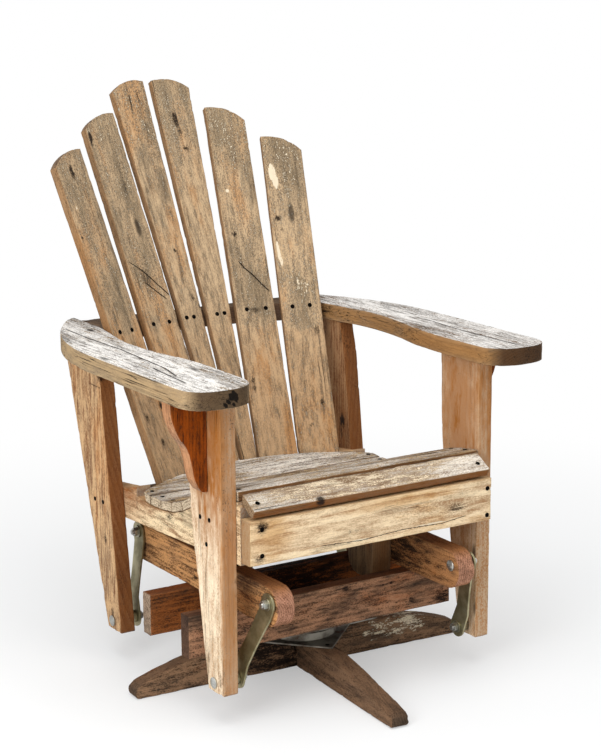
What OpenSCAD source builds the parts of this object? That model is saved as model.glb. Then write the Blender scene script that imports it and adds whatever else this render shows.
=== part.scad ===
// Slatted garden chair with a fan back, hung on four steel swing links from a frame
// that turns on a crossed foot. Millimetres, +Z up, the front of the chair faces -Y,
// the origin lies on the floor under the swivel axis.

/* [Foot] */
// Reach of the sideways foot bar from the swivel axis to its tips
foot_side_reach = 362; // [300:1:430]
// Reach of the fore-and-aft foot bar from the swivel axis to its tips
foot_front_reach = 378; // [300:1:430]
// Width of a foot bar
foot_bar_w = 37; // [30:1:50]
// Height of a foot bar where the bars cross
foot_bar_h = 66; // [54:1:80]
// Height of the blunt tip of a foot bar
foot_tip_h = 24; // [16:1:34]
// Length of the level top of a foot bar, from the swivel axis
foot_level = 150; // [130:1:220]
// Bulge of the sideways foot bar's sloping top
foot_side_bulge = 10.5; // [1:0.5:12]
// Bulge of the fore-and-aft foot bar's sloping top
foot_front_bulge = 2; // [1:0.5:12]
// Turn of the crossed foot under the frame, seen from above
foot_turn = -2.5; // [-10:0.5:10]
// How far the fore-and-aft bar is out of square with the other
foot_skew = -1.5; // [-2:0.5:2]
// Play on each side of the half-lap where the foot bars cross
lap_play = 0.1; // [0.05:0.05:0.5]

/* [Swivel] */
// Height of the swivel bearing, from the foot to the turning frame
swivel_h = 38; // [32:1:60]
// Side of the lower swivel plate
lower_plate_side = 174; // [160:1:220]
// Side of the upper swivel plate
upper_plate_side = 216; // [200:1:240]
// Thickness of the swivel plates
plate_t = 3; // [2:0.5:5]
// Radius of the circle of bearing balls
ball_circle_r = 62; // [50:1:75]
// Diameter of a bearing ball
ball_d = 10; // [8:1:14]
// Number of bearing balls
ball_count = 16; // [8:1:24]
// Diameter of the centre rivet
rivet_d = 20; // [12:1:30]
// Radial clearance of the centre rivet
rivet_fit = 0.08; // [0.03:0.01:0.1]

/* [Turning frame] */
// Length of a cross member
cross_len = 588; // [560:1:660]
// Sideways shift of the cross members from the swivel axis
cross_shift = -15; // [-20:1:20]
// Thickness of a cross member
cross_t = 30; // [24:1:40]
// Height of a cross member
cross_h = 81; // [60:1:100]
// Front face of the front cross member, along Y
cross_front_y = -111; // [-115:1:-90]
// Front face of the rear cross member, along Y
cross_rear_y = 34; // [20:1:60]
// Thickness of a frame rail
frame_rail_t = 38; // [30:1:40]
// Height of a frame rail
frame_rail_h = 75; // [70:1:80]
// Clear width between the frame rails
frame_rail_gap = 360; // [340:1:370]
// Thickness of the corner blocks inside the frame rails
corner_block_t = 45; // [30:1:50]
// Depth of the corner blocks
corner_block_d = 85; // [60:1:89]
// Height of the corner blocks below the tops of the frame rails
corner_block_h = 104; // [90:1:140]
// Radius of the corner blocks' lower rear corners
corner_block_r = 34; // [10:1:40]
// Front end of the frame rails, along Y
frame_rail_front = -270; // [-300:1:-262]
// Rear end of the frame rails, along Y
frame_rail_rear = 264; // [255:1:300]

/* [Swing links] */
// Distance between the two pivots of a link
link_len = 165; // [155:1:180]
// Width of a link at its ends
link_w = 40; // [30:1:46]
// Width of a link in the middle
link_waist = 34; // [24:1:40]
// Thickness of a link
link_t = 4; // [3:0.5:6]
// Length of the flat part below the upper pivot
link_tab = 20; // [17:1:40]
// Length of the slanted part of a link
link_slant = 105; // [60:1:112]
// Upper front pivot, along Y
front_pivot_y = -245; // [-250:1:-235]
// Height of the upper front pivot over the underside of the frame rail
front_pivot_up = 47; // [30:1:52]
// Upper rear pivot, along Y
rear_pivot_y = 238; // [225:1:245]
// Height of the upper rear pivot over the underside of the frame rail
rear_pivot_up = 58; // [50:1:60]
// Backward slant of the front links at rest
front_link_tilt = 22.8; // [18:0.2:26]
// Forward slant of the rear links at rest
rear_link_tilt = 9; // [5:0.2:12]

/* [Pivot hardware] */
// Diameter of the pivot bolts
bolt_d = 9.5; // [8:0.5:11]
// Diameter of a round bolt head
head_d = 21; // [16:1:24]
// Height of a round bolt head
head_h = 5; // [3:0.5:7]
// Diameter of a washer
washer_d = 24; // [20:1:28]
// Thickness of a washer
washer_t = 2; // [1:0.5:3]
// Width of a nut across its flats
nut_w = 15; // [13:0.5:18]
// Height of a nut
nut_h = 8; // [6:0.5:10]
// Length of bolt past a nut
bolt_tail = 3.5; // [1:0.5:6]
// Radial clearance of a bolt in a link
bolt_fit = 0.08; // [0.03:0.01:0.1]
// Side play of a link between its washers
link_play = 0.3; // [0.2:0.05:0.5]
// Extra radius of the lower hole of a rear link
rear_hole_play = 1.7; // [1.6:0.1:2.5]

/* [Legs] */
// Clear width between the left and right legs
leg_gap = 530; // [520:1:545]
// Thickness of a leg
leg_t = 32; // [28:1:36]
// Length of a front leg
leg_h = 544; // [520:1:570]
// Height of the pivot bolts over the foot of a leg
leg_bolt_up = 18; // [16:1:30]
// Distance of the front pivot bolt behind the leg's front edge
front_bolt_back = 31; // [24:1:34]
// Width of a front leg at its foot
front_foot_w = 53; // [50:1:60]
// Width of a front leg a third of the way up
front_shin_w = 84; // [76:1:88]
// Width of a front leg at its top
front_top_w = 121; // [110:1:130]
// Distance of the rear pivot bolt behind the leg's front edge
rear_bolt_back = 33; // [26:1:34]
// Width of a rear leg at its foot
rear_foot_w = 53; // [50:1:60]
// Backward lean of a rear leg's front edge, from the foot to the knee
rear_knee_lean = 62; // [50:1:70]
// Backward lean of a rear leg's front edge, from the foot to the top
rear_top_lean = 78; // [70:1:90]
// Height of the knee in a rear leg's front edge
rear_knee_up = 478; // [440:1:500]
// Width of a rear leg at its top
rear_top_w = 136; // [120:1:145]

/* [Seat] */
// Thickness of a seat rail
seat_rail_t = 32; // [28:1:34]
// Length of a seat rail in front of the legs
seat_nose = 12; // [8:1:20]
// Rear end of a seat rail, behind the legs' front edge
seat_rail_rear = 504; // [490:1:520]
// Height of a seat rail's lower edge at its front end
seat_rail_up_front = 242; // [225:1:246]
// Height of a seat rail's lower edge at its rear end
seat_rail_up_rear = 218; // [212:1:225]
// Thickness of the apron
apron_t = 32; // [20:1:36]
// Height of the apron
apron_h = 82; // [60:1:84]
// Height of the apron's lower edge over the legs' feet
apron_up = 248; // [244:1:250]
// Thickness of a seat slat
seat_slat_t = 19; // [14:1:22]
// Spacing of the seat slats
seat_slat_pitch = 42.5; // [39:0.5:43]
// Depth of the seat rails' rest under the rear slat
rear_slat_rest = 52.6; // [48:0.2:58]
// Length of the seat rails' step behind that rest
ledge_run = 44; // [36:1:60]
// Gap between seat slats
seat_slat_gap = 1.6; // [0.5:0.1:5]
// Gap between the ends of the seat slats and the legs
seat_slat_end_gap = 0.6; // [0.3:0.1:4]
// Width of the sloping front slat
front_slat_w = 48; // [40:1:52]
// Slope of the front slat
front_slat_slope = 29.7; // [20:0.1:34]
// Setback of the front slat's ends from the legs
front_slat_end_gap = 7; // [1:1:12]
// Height of the front slat's rear edge below the deck
front_slat_drop = 3; // [1:1:8]
// Height of the seat rails under the first deck slat
deck_up = 357; // [350:1:366]

/* [Back] */
// Distance of the back slats' faces behind the legs' front edge, at the seat
back_y = 428; // [420:1:436]
// Height of that line over the legs' feet
back_up = 298; // [290:1:304]
// Recline of the back
recline = 26.6; // [20:0.2:30]
// Radius of the hollow of the back
back_r = 571; // [500:1:900]
// Width of a back slat
slat_w = 84; // [76:1:86]
// Thickness of a back slat
slat_t = 19; // [14:1:24]
// Width of an inner back slat at the seat
inner_slat_foot_w = 34; // [28:1:38]
// How much narrower the left inner back slat is at its top than the right one
left_inner_less = 6; // [0:1:12]
// Outward lean of an inner back slat
inner_slat_lean = 0.4; // [0:0.1:0.6]
// Gap between the two inner back slats
inner_slat_gap = 7; // [3:1:12]
// Middle back slat at the seat, from the centre
middle_slat_x = 84; // [83:0.5:88]
// Outward lean of a middle back slat
middle_slat_lean = 5.4; // [4.6:0.1:6]
// Outward lean of the left middle back slat
left_middle_lean = 4.3; // [4:0.1:6]
// Outer back slat at the seat, from the centre
outer_slat_x = 169; // [168:0.5:175]
// Outward lean of an outer back slat
outer_slat_lean = 7; // [6:0.1:8]
// How much wider the left outer back slat is at its top than the right one
left_outer_extra = 5; // [0:1:6]
// Length of an inner back slat above the seat
inner_slat_h = 817; // [740:1:860]
// Length of a middle back slat above the seat
middle_slat_h = 747; // [700:1:800]
// Length of an outer back slat above the seat
outer_slat_h = 665; // [600:1:720]
// Length of a back slat below the seat
slat_tail = 70; // [62:1:76]
// Fall of an inner slat's top from its inner to its outer corner
inner_slat_fall = 21; // [10:1:30]
// Fall of a middle slat's top
middle_slat_fall = 32; // [20:1:40]
// Fall of an outer slat's top
outer_slat_fall = 36; // [20:1:50]
// Rise of the rounded top of a back slat over its corners
slat_crown = 11; // [6:1:18]
// Depth of the back rail at its ends
back_rail_d = 90; // [70:1:100]
// Thickness of the lower back cleat
cleat_t = 32; // [24:1:36]
// Height of the lower back cleat's top over the legs' feet
cleat_up = 264; // [258:1:266]
// Rear edge of the lower back cleat, behind the legs' front edge
cleat_rear = 480; // [470:1:495]

/* [Arms] */
// Thickness of an arm
arm_t = 34; // [28:1:40]
// Clear width between the arms at the back rail
arm_gap = 500; // [490:1:506]
// Width of an arm's board
arm_w = 138; // [128:1:146]
// Overhang of the arms in front of the legs
arm_front = 66; // [50:1:80]
// Length of an arm
arm_len = 721; // [700:1:740]
// Radius of an arm's rear outer corner
arm_rear_r = 520; // [460:1:600]
// Width of an arm's rear end, where that corner stops
arm_rear_w = 20.7; // [10:0.1:40]
// Reach of an arm bracket outward from the leg
bracket_w = 73; // [50:1:80]
// Height of an arm bracket
bracket_h = 175; // [140:1:200]
// Thickness of an arm bracket
bracket_t = 32; // [24:1:36]
// Left bracket's front face, behind the leg's front edge
left_bracket_back = 44; // [10:1:70]
// Right bracket's front face, behind the leg's front edge
right_bracket_back = 80; // [10:1:80]

/* [Screws] */
// Diameter of a wood screw's head
screw_head_d = 8.4; // [6:0.2:10]
// Height of a wood screw's head
screw_head_h = 2.4; // [1.5:0.1:4]
// Diameter of a wood screw's shank
screw_d = 4.4; // [3:0.2:6]
// Depth of a screw head below the wood
screw_sink = 0.8; // [0.2:0.1:2]
// Clearance of a screw in its hole
screw_fit = 0.05; // [0.02:0.01:0.1]
// Length of a short screw
short_screw = 34; // [28:1:40]
// Length of a long screw
long_screw = 58; // [50:1:60]

/* [Hidden] */
$fn = 48;

// Slope of each deck slat along the hollow of the seat, front to rear, then the rear slat
deck_slopes = [-7, -12.5, -21, -26, -25, -17, -7, -1.4];
deck_rear_slope = 5;
// Small cuts, steps and margins
over = 1;
screw_mouth = 6;
tip_chamfer = 4;
tip_nose = 8;

// Heights of the base, from the floor up
plate_z = foot_bar_h;
cross_z = foot_bar_h + swivel_h;
rail_z = cross_z + cross_h;
ball_z = plate_z + swivel_h / 2;
race_gap = 4;
race_w = ball_d + 8;
ball_play = 0.12;
rivet_play = 0.3;

// Sides of the frame and the seat, from the middle plane outward
rail_in = frame_rail_gap / 2;
rail_out = rail_in + frame_rail_t;
leg_in = leg_gap / 2;
leg_out = leg_in + leg_t;
seat_rail_in = leg_in - seat_rail_t;
bolt_r = bolt_d / 2;
link_top_x = rail_out + washer_t + link_play;
link_low_x = seat_rail_in + nut_h + bolt_tail;
link_jog = link_low_x - link_top_x;
spacer_x = link_low_x + link_t + link_play;

// Pivots in the YZ plane
front_top = [front_pivot_y, rail_z + front_pivot_up];
rear_top = [rear_pivot_y, rail_z + rear_pivot_up];
front_low = front_top + link_len * [sin(front_link_tilt), -cos(front_link_tilt)];
rear_low = rear_top + link_len * [-sin(rear_link_tilt), -cos(rear_link_tilt)];

// The seat's own frame: front edge of the front legs, level with their feet
seat_y = front_low.x - front_bolt_back;
seat_z = front_low.y - leg_bolt_up;
rear_pivot = [rear_low.x - seat_y, rear_low.y - seat_z];
rear_foot_y = rear_pivot.x - rear_bolt_back;
rear_foot_z = rear_pivot.y - leg_bolt_up;

// Path of the deck: points on the seat rails' upper edge, one slat pitch apart
deck_x = leg_in - seat_slat_end_gap;
deck_start = [-4, deck_up];
function turn(a) = [cos(a), sin(a)];
function deck_point(i) =
  i == 0 ? deck_start : deck_point(i - 1) + seat_slat_pitch * turn(deck_slopes[i - 1]);
deck_count = len(deck_slopes);
deck_end = deck_point(deck_count);
// Direction of the cut between two slats, halfway between their slopes
function deck_slope(i) = i < 0 ? deck_slopes[0] : i < deck_count ? deck_slopes[i] : deck_rear_slope;
function deck_normal(i) =
  seat_slat_t / cos((deck_slope(i) - deck_slope(i - 1)) / 2)
  * turn(90 + (deck_slope(i) + deck_slope(i - 1)) / 2);
// Where the seat rails step up behind the rear slat
deck_ledge = deck_end.x + rear_slat_rest;
deck_back_gap = 2.5;

// The front slat: its rear edge stands below the deck's front edge
front_top_edge = [deck_start.x - 2, deck_start.y + seat_slat_t - front_slat_drop];
front_fore_edge = front_top_edge - front_slat_w * turn(front_slat_slope);
front_under = seat_slat_t / cos(front_slat_slope);
function front_slat_under(y) =
  front_top_edge.y - front_under + (y - front_top_edge.x) * tan(front_slat_slope);

// The front slat's screws: distance below its rear edge, and length
front_screw_back = 29;
slope_screw = 44;
// How far an outer back slat's tail is cut away from its neighbour
outer_tail_cut = 7;
// Screws through the back slats: their heights along the slats, left and right, length, depth
rail_v = (leg_h + arm_t / 2 - back_up) / cos(recline);
back_screw_v = rail_v + 10;
middle_screw_v = [rail_v + 4, rail_v + 10];
outer_screw_v = [rail_v - 9, rail_v - 1];
cleat_screw_v = -56;
back_screw = slat_t + 26;
back_screw_sink = 1.6;
arm_rear = arm_len - arm_front;
arm_in = arm_gap / 2;
arm_out = arm_in + arm_w;

// Smooth curve through the points p, with m steps from each point to the next
function smooth(p, m) = concat(
  [for (i = [0 : len(p) - 2]) for (k = [0 : m - 1])
    let (t = k / m, a = p[max(i - 1, 0)], b = p[i], c = p[i + 1], d = p[min(i + 2, len(p) - 1)])
    0.5 * (2 * b + (c - a) * t + (2 * a - 5 * b + 4 * c - d) * t * t
      + (3 * b - a - 3 * c + d) * t * t * t)],
  [p[len(p) - 1]]);
// Arc from p to q in n steps, going clockwise, that stands b over their chord in the middle
function bow(p, q, b, n) =
  let (c = norm(q - p), r = c * c / (8 * b) + b / 2, tilt = atan2(q.y - p.y, q.x - p.x),
    m = (p + q) / 2 - (r - b) * turn(90 + tilt), half = asin(c / (2 * r)))
  [for (i = [0 : n]) m + r * turn(90 + tilt + half * (1 - 2 * i / n))];
// Arc about c with radius r from angle a to angle b in n steps
function arc(c, r, a, b, n) = [for (i = [0 : n]) c + r * turn(a + (b - a) * i / n)];
function flip(p) = [for (i = [len(p) - 1 : -1 : 0]) [-p[i].x, p[i].y]];

// A board with its outline in the YZ plane, x to x + t
module board_x(x, t) translate([x, 0, 0]) rotate([90, 0, 90]) linear_extrude(t) children();
// A board with its outline in the XZ plane, y to y + t
module board_y(y, t) translate([0, y + t, 0]) rotate([90, 0, 0]) linear_extrude(t) children();
// A round bar along X about the point p of the YZ plane
module rod_x(p, r, x0, x1) translate([x0, p.x, p.y]) rotate([0, 90, 0]) cylinder(r = r, h = x1 - x0);
module left() mirror([1, 0, 0]) children();
module both() {
  children();
  left() children();
}
module in_seat() translate([0, seat_y, seat_z]) children();

// A sunk wood screw down from the surface at the origin, and the hole for it
module screw(l) {
  translate([0, 0, -screw_sink - screw_head_h]) cylinder(d = screw_head_d, h = screw_head_h);
  translate([0, 0, -l]) cylinder(d = screw_d, h = l - screw_sink - screw_head_h);
}
module screw_hole(l) {
  translate([0, 0, -screw_sink - screw_head_h])
    cylinder(d = screw_head_d + 2 * screw_fit, h = screw_head_h + screw_sink + screw_mouth);
  translate([0, 0, -l]) cylinder(d = screw_d + 2 * screw_fit, h = l);
}

// Foot: two half-lapped bars with tops that curve down to blunt tips
function foot_half(reach, bulge) =
  let (top = bow([foot_level, foot_bar_h], [reach - tip_chamfer / 2, foot_tip_h], bulge, 14))
  concat([[reach - tip_chamfer, 0], [reach, tip_nose]], [for (i = [14 : -1 : 0]) top[i]]);

module foot_bar(reach, bulge) board_y(-foot_bar_w / 2, foot_bar_w)
  polygon(concat(foot_half(reach, bulge), flip(foot_half(reach, bulge))));
module foot_lap(z) translate([-foot_bar_w / 2 - lap_play, -foot_bar_w, z])
  cube([foot_bar_w + 2 * lap_play, 2 * foot_bar_w, foot_bar_h]);
module at_lower_plate_screws() for (a = [0 : 90 : 270]) rotate([0, 0, a])
  translate([lower_plate_side / sqrt(2) - 18, 0, plate_z + plate_t]) children();

module foot_bar_side() color("#5f5348") rotate([0, 0, foot_turn]) difference() {
  foot_bar(foot_side_reach, foot_side_bulge);
  rotate([0, 0, foot_skew]) foot_lap(foot_bar_h / 2);
  at_lower_plate_screws() screw_hole(short_screw);
}
module foot_bar_front() color("#5a4a3d") rotate([0, 0, foot_turn]) difference() {
  rotate([0, 0, 90 + foot_skew]) foot_bar(foot_front_reach, foot_front_bulge);
  rotate([0, 0, 90]) foot_lap(-foot_bar_h / 2);
  at_lower_plate_screws() screw_hole(short_screw);
}

// Swivel: two square plates with ball races between them, held by a rivet
module race(z, h) rotate_extrude() difference() {
  translate([ball_circle_r - race_w / 2, z]) square([race_w, h]);
  translate([ball_circle_r, ball_z]) circle(d = ball_d + 2 * ball_play);
}
module plate(side, z) translate([-side / 2, -side / 2, z]) cube([side, side, plate_t]);
race_h = (swivel_h - race_gap) / 2 - plate_t;

module swivel_plate_lower() color("#8d8a84") rotate([0, 0, foot_turn]) difference() {
  union() {
    rotate([0, 0, 45]) plate(lower_plate_side, plate_z);
    race(plate_z + plate_t, race_h);
  }
  at_lower_plate_screws() screw_hole(short_screw);
  translate([0, 0, plate_z - over]) cylinder(d = rivet_d, h = plate_t + 2 * over);
}
module bearing_balls() color("#b9b9b4") for (i = [0 : ball_count - 1]) rotate([0, 0, i * 360 / ball_count])
  translate([ball_circle_r, 0, ball_z]) sphere(d = ball_d);
module swivel_rivet() color("#8d8a84") {
  translate([0, 0, plate_z]) cylinder(d = rivet_d, h = swivel_h + rivet_play);
  translate([0, 0, cross_z + rivet_play]) cylinder(d = rivet_d + 12, h = plate_t);
}
module at_upper_plate_screws() for (x = [-1, 1], y = [cross_front_y, cross_rear_y])
  translate([x * (upper_plate_side / 2 - 18), y + cross_t / 2, cross_z - plate_t])
    rotate([180, 0, 0]) children();
module swivel_plate_upper() color("#8d8a84") difference() {
  union() {
    plate(upper_plate_side, cross_z - plate_t);
    race(cross_z - plate_t - race_h, race_h);
  }
  at_upper_plate_screws() screw_hole(short_screw);
  translate([0, 0, cross_z - plate_t - over])
    cylinder(d = rivet_d + 2 * rivet_fit, h = plate_t + 2 * over);
}
module foot_screws() color("#77736c") rotate([0, 0, foot_turn]) at_lower_plate_screws() screw(short_screw);
module plate_screws() color("#77736c") at_upper_plate_screws() screw(short_screw);

// Turning frame: two cross members under two rails with rounded noses
module at_frame_screws() for (x = [-1, 1], y = [cross_front_y, cross_rear_y])
  translate([x * (rail_in + rail_out) / 2, y + cross_t / 2, rail_z + frame_rail_h]) children();
frame_screw = frame_rail_h + 30;
module cross_member(y) difference() {
  translate([cross_shift - cross_len / 2, y, cross_z]) cube([cross_len, cross_t, cross_h]);
  at_upper_plate_screws() screw_hole(short_screw);
  at_frame_screws() screw_hole(frame_screw);
}
module cross_member_front() color("#6d4636") cross_member(cross_front_y);
module cross_member_rear() color("#7c4a30") cross_member(cross_rear_y);
nose_r = frame_rail_h / 2;
module frame_rail() difference() {
  union() {
    board_x(rail_in, frame_rail_t) translate([frame_rail_front + nose_r, rail_z])
      square([frame_rail_rear - frame_rail_front - nose_r, frame_rail_h]);
    rod_x([frame_rail_front + nose_r, rail_z + nose_r], nose_r, rail_in, rail_out);
  }
  for (p = [front_top, rear_top]) rod_x(p, bolt_r + bolt_fit, rail_in - over, rail_out + over);
  at_frame_screws() screw_hole(frame_screw);
}
// Corner blocks: stand inside the rails against the rear cross member
module corner_block() let (z = rail_z + frame_rail_h - corner_block_h)
  board_x(rail_in - corner_block_t, corner_block_t) polygon(concat(
    [[cross_rear_y, rail_z + frame_rail_h], [cross_rear_y - corner_block_d, rail_z + frame_rail_h],
      [cross_rear_y - corner_block_d, z]],
    arc([cross_rear_y - corner_block_r, z + corner_block_r], corner_block_r, -90, 0, 8)));
module corner_block_left() color("#a98a63") left() corner_block();
module corner_block_right() color("#a98a63") corner_block();
module frame_rail_left() color("#8a5a3c") left() frame_rail();
module frame_rail_right() color("#8a5a3c") frame_rail();
module frame_screws() color("#77736c") at_frame_screws() screw(frame_screw);

// Pivot hardware: round head, shank, washers, nut
module round_head(p, x, s) translate([x, p.x, p.y]) rotate([0, s * 90, 0]) intersection() {
  cylinder(d = head_d, h = head_h);
  translate([0, 0, head_h - head_d]) sphere(r = head_d, $fn = 96);
}
module washer(p, x, t) difference() {
  rod_x(p, washer_d / 2, x, x + t);
  rod_x(p, bolt_r + bolt_fit, x - over, x + t + over);
}
module nut(p, x) difference() {
  translate([x, p.x, p.y]) rotate([0, 90, 0]) cylinder(d = nut_w / cos(30), h = nut_h, $fn = 6);
  rod_x(p, bolt_r, x - over, x + nut_h + over);
}
upper_nut_x = link_top_x + link_t + link_play + washer_t;
lower_nut_x = link_low_x - link_play - washer_t - nut_h;
module upper_pivot_bolts() color("#b5b3ab") both() for (p = [front_top, rear_top]) {
  round_head(p, rail_in, -1);
  rod_x(p, bolt_r, rail_in, upper_nut_x + nut_h + bolt_tail);
}
module upper_pivot_washers() color("#c4c1b4") both() for (p = [front_top, rear_top]) {
  washer(p, rail_out, washer_t);
  washer(p, link_top_x + link_t + link_play, washer_t);
}
module upper_pivot_nuts() color("#b5b3ab") both() for (p = [front_top, rear_top]) nut(p, upper_nut_x);
module lower_pivot_bolts() color("#b5b3ab") both() for (p = [front_low, rear_low]) {
  round_head(p, leg_out, 1);
  rod_x(p, bolt_r, lower_nut_x - bolt_tail, leg_out);
}
module lower_pivot_spacers() color("#9a978c") both() for (p = [front_low, rear_low])
  washer(p, spacer_x, leg_in - spacer_x);
module lower_pivot_washers() color("#c4c1b4") both() for (p = [front_low, rear_low])
  washer(p, link_low_x - link_play - washer_t, washer_t);
module lower_pivot_nuts() color("#b5b3ab") both() for (p = [front_low, rear_low]) nut(p, lower_nut_x);

// Swing link: a flat bar with round ends, a slight waist and a slanted middle,
// hanging from the origin along -Z
link_r = link_w / 2;
link_edge = smooth([[link_r, 0], [link_waist / 2, -link_len / 2], [link_r, -link_len]], 6);
link_side = [
  [0, link_r], [link_t, link_r], [link_t, -link_tab],
  [link_t + link_jog, -link_tab - link_slant], [link_t + link_jog, -link_len - link_r],
  [link_jog, -link_len - link_r], [link_jog, -link_tab - link_slant], [0, -link_tab]];
module link(low_play) difference() {
  intersection() {
    board_y(-link_r - over, 2 * link_r + 2 * over) polygon(link_side);
    union() {
      rod_x([0, 0], link_r, -over, link_t + link_jog + over);
      rod_x([0, -link_len], link_r, -over, link_t + link_jog + over);
      board_x(-over, link_t + link_jog + 2 * over)
        polygon(concat(link_edge, flip(link_edge)));
    }
  }
  rod_x([0, 0], bolt_r + bolt_fit, -over, link_t + over);
  rod_x([0, -link_len], bolt_r + low_play, link_jog - over, link_jog + link_t + over);
}
module front_link() translate([link_top_x, front_top.x, front_top.y])
  rotate([front_link_tilt, 0, 0]) link(bolt_fit);
module rear_link() translate([link_top_x, rear_top.x, rear_top.y])
  rotate([-rear_link_tilt, 0, 0]) link(rear_hole_play);
module front_link_left() color("#8f8f6c") left() front_link();
module front_link_right() color("#8f8f6c") front_link();
module rear_link_left() color("#8f8f6c") left() rear_link();
module rear_link_right() color("#8f8f6c") rear_link();

// Screws through the legs into the seat rails, in the seat's frame
front_leg_screws = [[74, 317], [42, 318], [53, 271]];
rear_leg_screws = [[rear_foot_y + 63, 251], [rear_foot_y + 97, 250]];
module at_leg_screws(points) for (p = points) translate([leg_out, p.x, p.y]) rotate([0, 90, 0]) children();

// Legs: tapered boards
front_leg_shape = concat(
  [[0, leg_h], [0, 0]],
  smooth([[front_foot_w, 0], [front_shin_w, leg_h / 3],
    [(front_shin_w + 2 * front_top_w) / 3 + 4, leg_h * 2 / 3], [front_top_w, leg_h]], 5));
rear_leg_shape = [
  [rear_foot_y, rear_foot_z], [rear_foot_y + rear_foot_w, rear_foot_z],
  [rear_foot_y + rear_top_lean + rear_top_w, leg_h], [rear_foot_y + rear_top_lean, leg_h],
  [rear_foot_y + rear_knee_lean, rear_knee_up]];
module front_leg() in_seat() difference() {
  board_x(leg_in, leg_t) polygon(front_leg_shape);
  rod_x([front_bolt_back, leg_bolt_up], bolt_r + bolt_fit, leg_in - over, leg_out + over);
  at_leg_screws(front_leg_screws) screw_hole(long_screw);
}
module rear_leg() in_seat() difference() {
  board_x(leg_in, leg_t) polygon(rear_leg_shape);
  rod_x(rear_pivot, bolt_r + bolt_fit, leg_in - over, leg_out + over);
  at_leg_screws(rear_leg_screws) screw_hole(long_screw);
}
module front_leg_left() color("#c79a64") left() front_leg();
module front_leg_right() color("#c79a64") front_leg();
module rear_leg_left() color("#b98a58") left() rear_leg();
module rear_leg_right() color("#b98a58") rear_leg();
module leg_screws() color("#57524c") in_seat() both() {
  at_leg_screws(front_leg_screws) screw(long_screw);
  at_leg_screws(rear_leg_screws) screw(long_screw);
}

// Seat rails: the upper edge follows the undersides of the slats
deck_rear_top = deck_end + (deck_ledge - deck_end.x) / cos(deck_rear_slope) * turn(deck_rear_slope);
seat_rail_shape = concat(
  [[-seat_nose, seat_rail_up_front], [-seat_nose, front_slat_under(-seat_nose)],
    [front_top_edge.x, front_slat_under(front_top_edge.x)],
    [deck_start.x, front_slat_under(front_top_edge.x)]],
  [for (i = [0 : deck_count]) deck_point(i)],
  [deck_rear_top, deck_rear_top + [0, seat_slat_t], [deck_ledge + ledge_run, deck_rear_top.y + 7],
    [seat_rail_rear, deck_rear_top.y - 4], [seat_rail_rear, seat_rail_up_rear]]);
rail_middle_x = leg_in - seat_rail_t / 2;
module at_apron_screws() for (p = [[-leg_in + 25, 17], [-leg_in + 25, apron_h - 17],
    [leg_in - 10, 11], [leg_in - 10, apron_h - 19]])
  translate([p.x, -seat_nose - apron_t, apron_up + p.y]) rotate([90, 0, 0]) children();
module at_deck_screws(i) translate([rail_middle_x, 0, 0]) let (a = deck_slope(i), p = deck_point(i))
  translate([0, p.x, p.y]) rotate([a, 0, 0]) translate([0, seat_slat_pitch / 2, seat_slat_t]) children();
module at_front_slat_screws() translate([seat_rail_in + 8, front_top_edge.x, front_top_edge.y])
  rotate([front_slat_slope, 0, 0]) translate([0, -front_screw_back, 0]) children();
module seat_rail() in_seat() difference() {
  board_x(seat_rail_in, seat_rail_t) polygon(seat_rail_shape);
  at_leg_screws(front_leg_screws) screw_hole(long_screw);
  at_leg_screws(rear_leg_screws) screw_hole(long_screw);
  at_front_slat_screws() screw_hole(slope_screw);
  for (i = [0 : deck_count]) at_deck_screws(i) screw_hole(short_screw);
}
module seat_rail_left() color("#c9a06a") difference() {
  left() seat_rail();
  in_seat() at_apron_screws() screw_hole(long_screw);
}
module seat_rail_right() color("#c9a06a") difference() {
  seat_rail();
  in_seat() at_apron_screws() screw_hole(long_screw);
}
module apron() color("#c8a678") in_seat() difference() {
  translate([-leg_in, -seat_nose - apron_t, apron_up]) cube([2 * leg_in, apron_t, apron_h]);
  at_apron_screws() screw_hole(long_screw);
  both() at_front_slat_screws() screw_hole(slope_screw);
}
module apron_screws() color("#57524c") in_seat() at_apron_screws() screw(long_screw);

// Deck: a sloping front slat, straight slats mitred along the hollow, a curved rear slat
module front_slat() color("#d5ccb8") in_seat() difference() {
  board_x(-leg_in + front_slat_end_gap, 2 * (leg_in - front_slat_end_gap))
    polygon([front_top_edge, front_fore_edge,
      front_fore_edge + seat_slat_t * [sin(front_slat_slope), -cos(front_slat_slope)],
      front_top_edge - [0, front_under]]);
  both() at_front_slat_screws() screw_hole(slope_screw);
}
module deck_slat(i) in_seat() difference() {
  let (d = seat_slat_gap / 2 * turn(deck_slope(i)), a = deck_point(i), b = deck_point(i + 1))
  board_x(-deck_x, 2 * deck_x)
    polygon([a + d, b - d, b + deck_normal(i + 1) - d, a + deck_normal(i) + d]);
  both() at_deck_screws(i) screw_hole(short_screw);
}
module deck_slat_rear() color("#b79f80") in_seat() difference() {
  let (d = seat_slat_gap / 2 * turn(deck_rear_slope), reach = 2.3 * rear_slat_rest * turn(deck_rear_slope))
  intersection() {
    board_x(-deck_x, 2 * deck_x) polygon([deck_end + d, deck_end + reach,
      deck_end + reach + seat_slat_t * turn(90 + deck_rear_slope), deck_end + deck_normal(deck_count) + d]);
    back_hollow(back_r - deck_back_gap);
  }
  translate([0, -1, 0]) all_back_boards();
  both() at_deck_screws(deck_count) screw_hole(short_screw);
}
module seat_screws() color("#57524c") in_seat() both() {
  at_front_slat_screws() screw(slope_screw);
  for (i = [0 : deck_count]) at_deck_screws(i) screw(short_screw);
}

// Back: the slats' faces lie on a hollow cylinder that leans back by the recline
module in_back() translate([0, back_y, back_up]) rotate([-recline, 0, 0]) children();
module back_hollow(r) in_back() translate([0, -back_r, -back_up - 100])
  cylinder(r = r, h = inner_slat_h + 400, $fn = 240);
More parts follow.
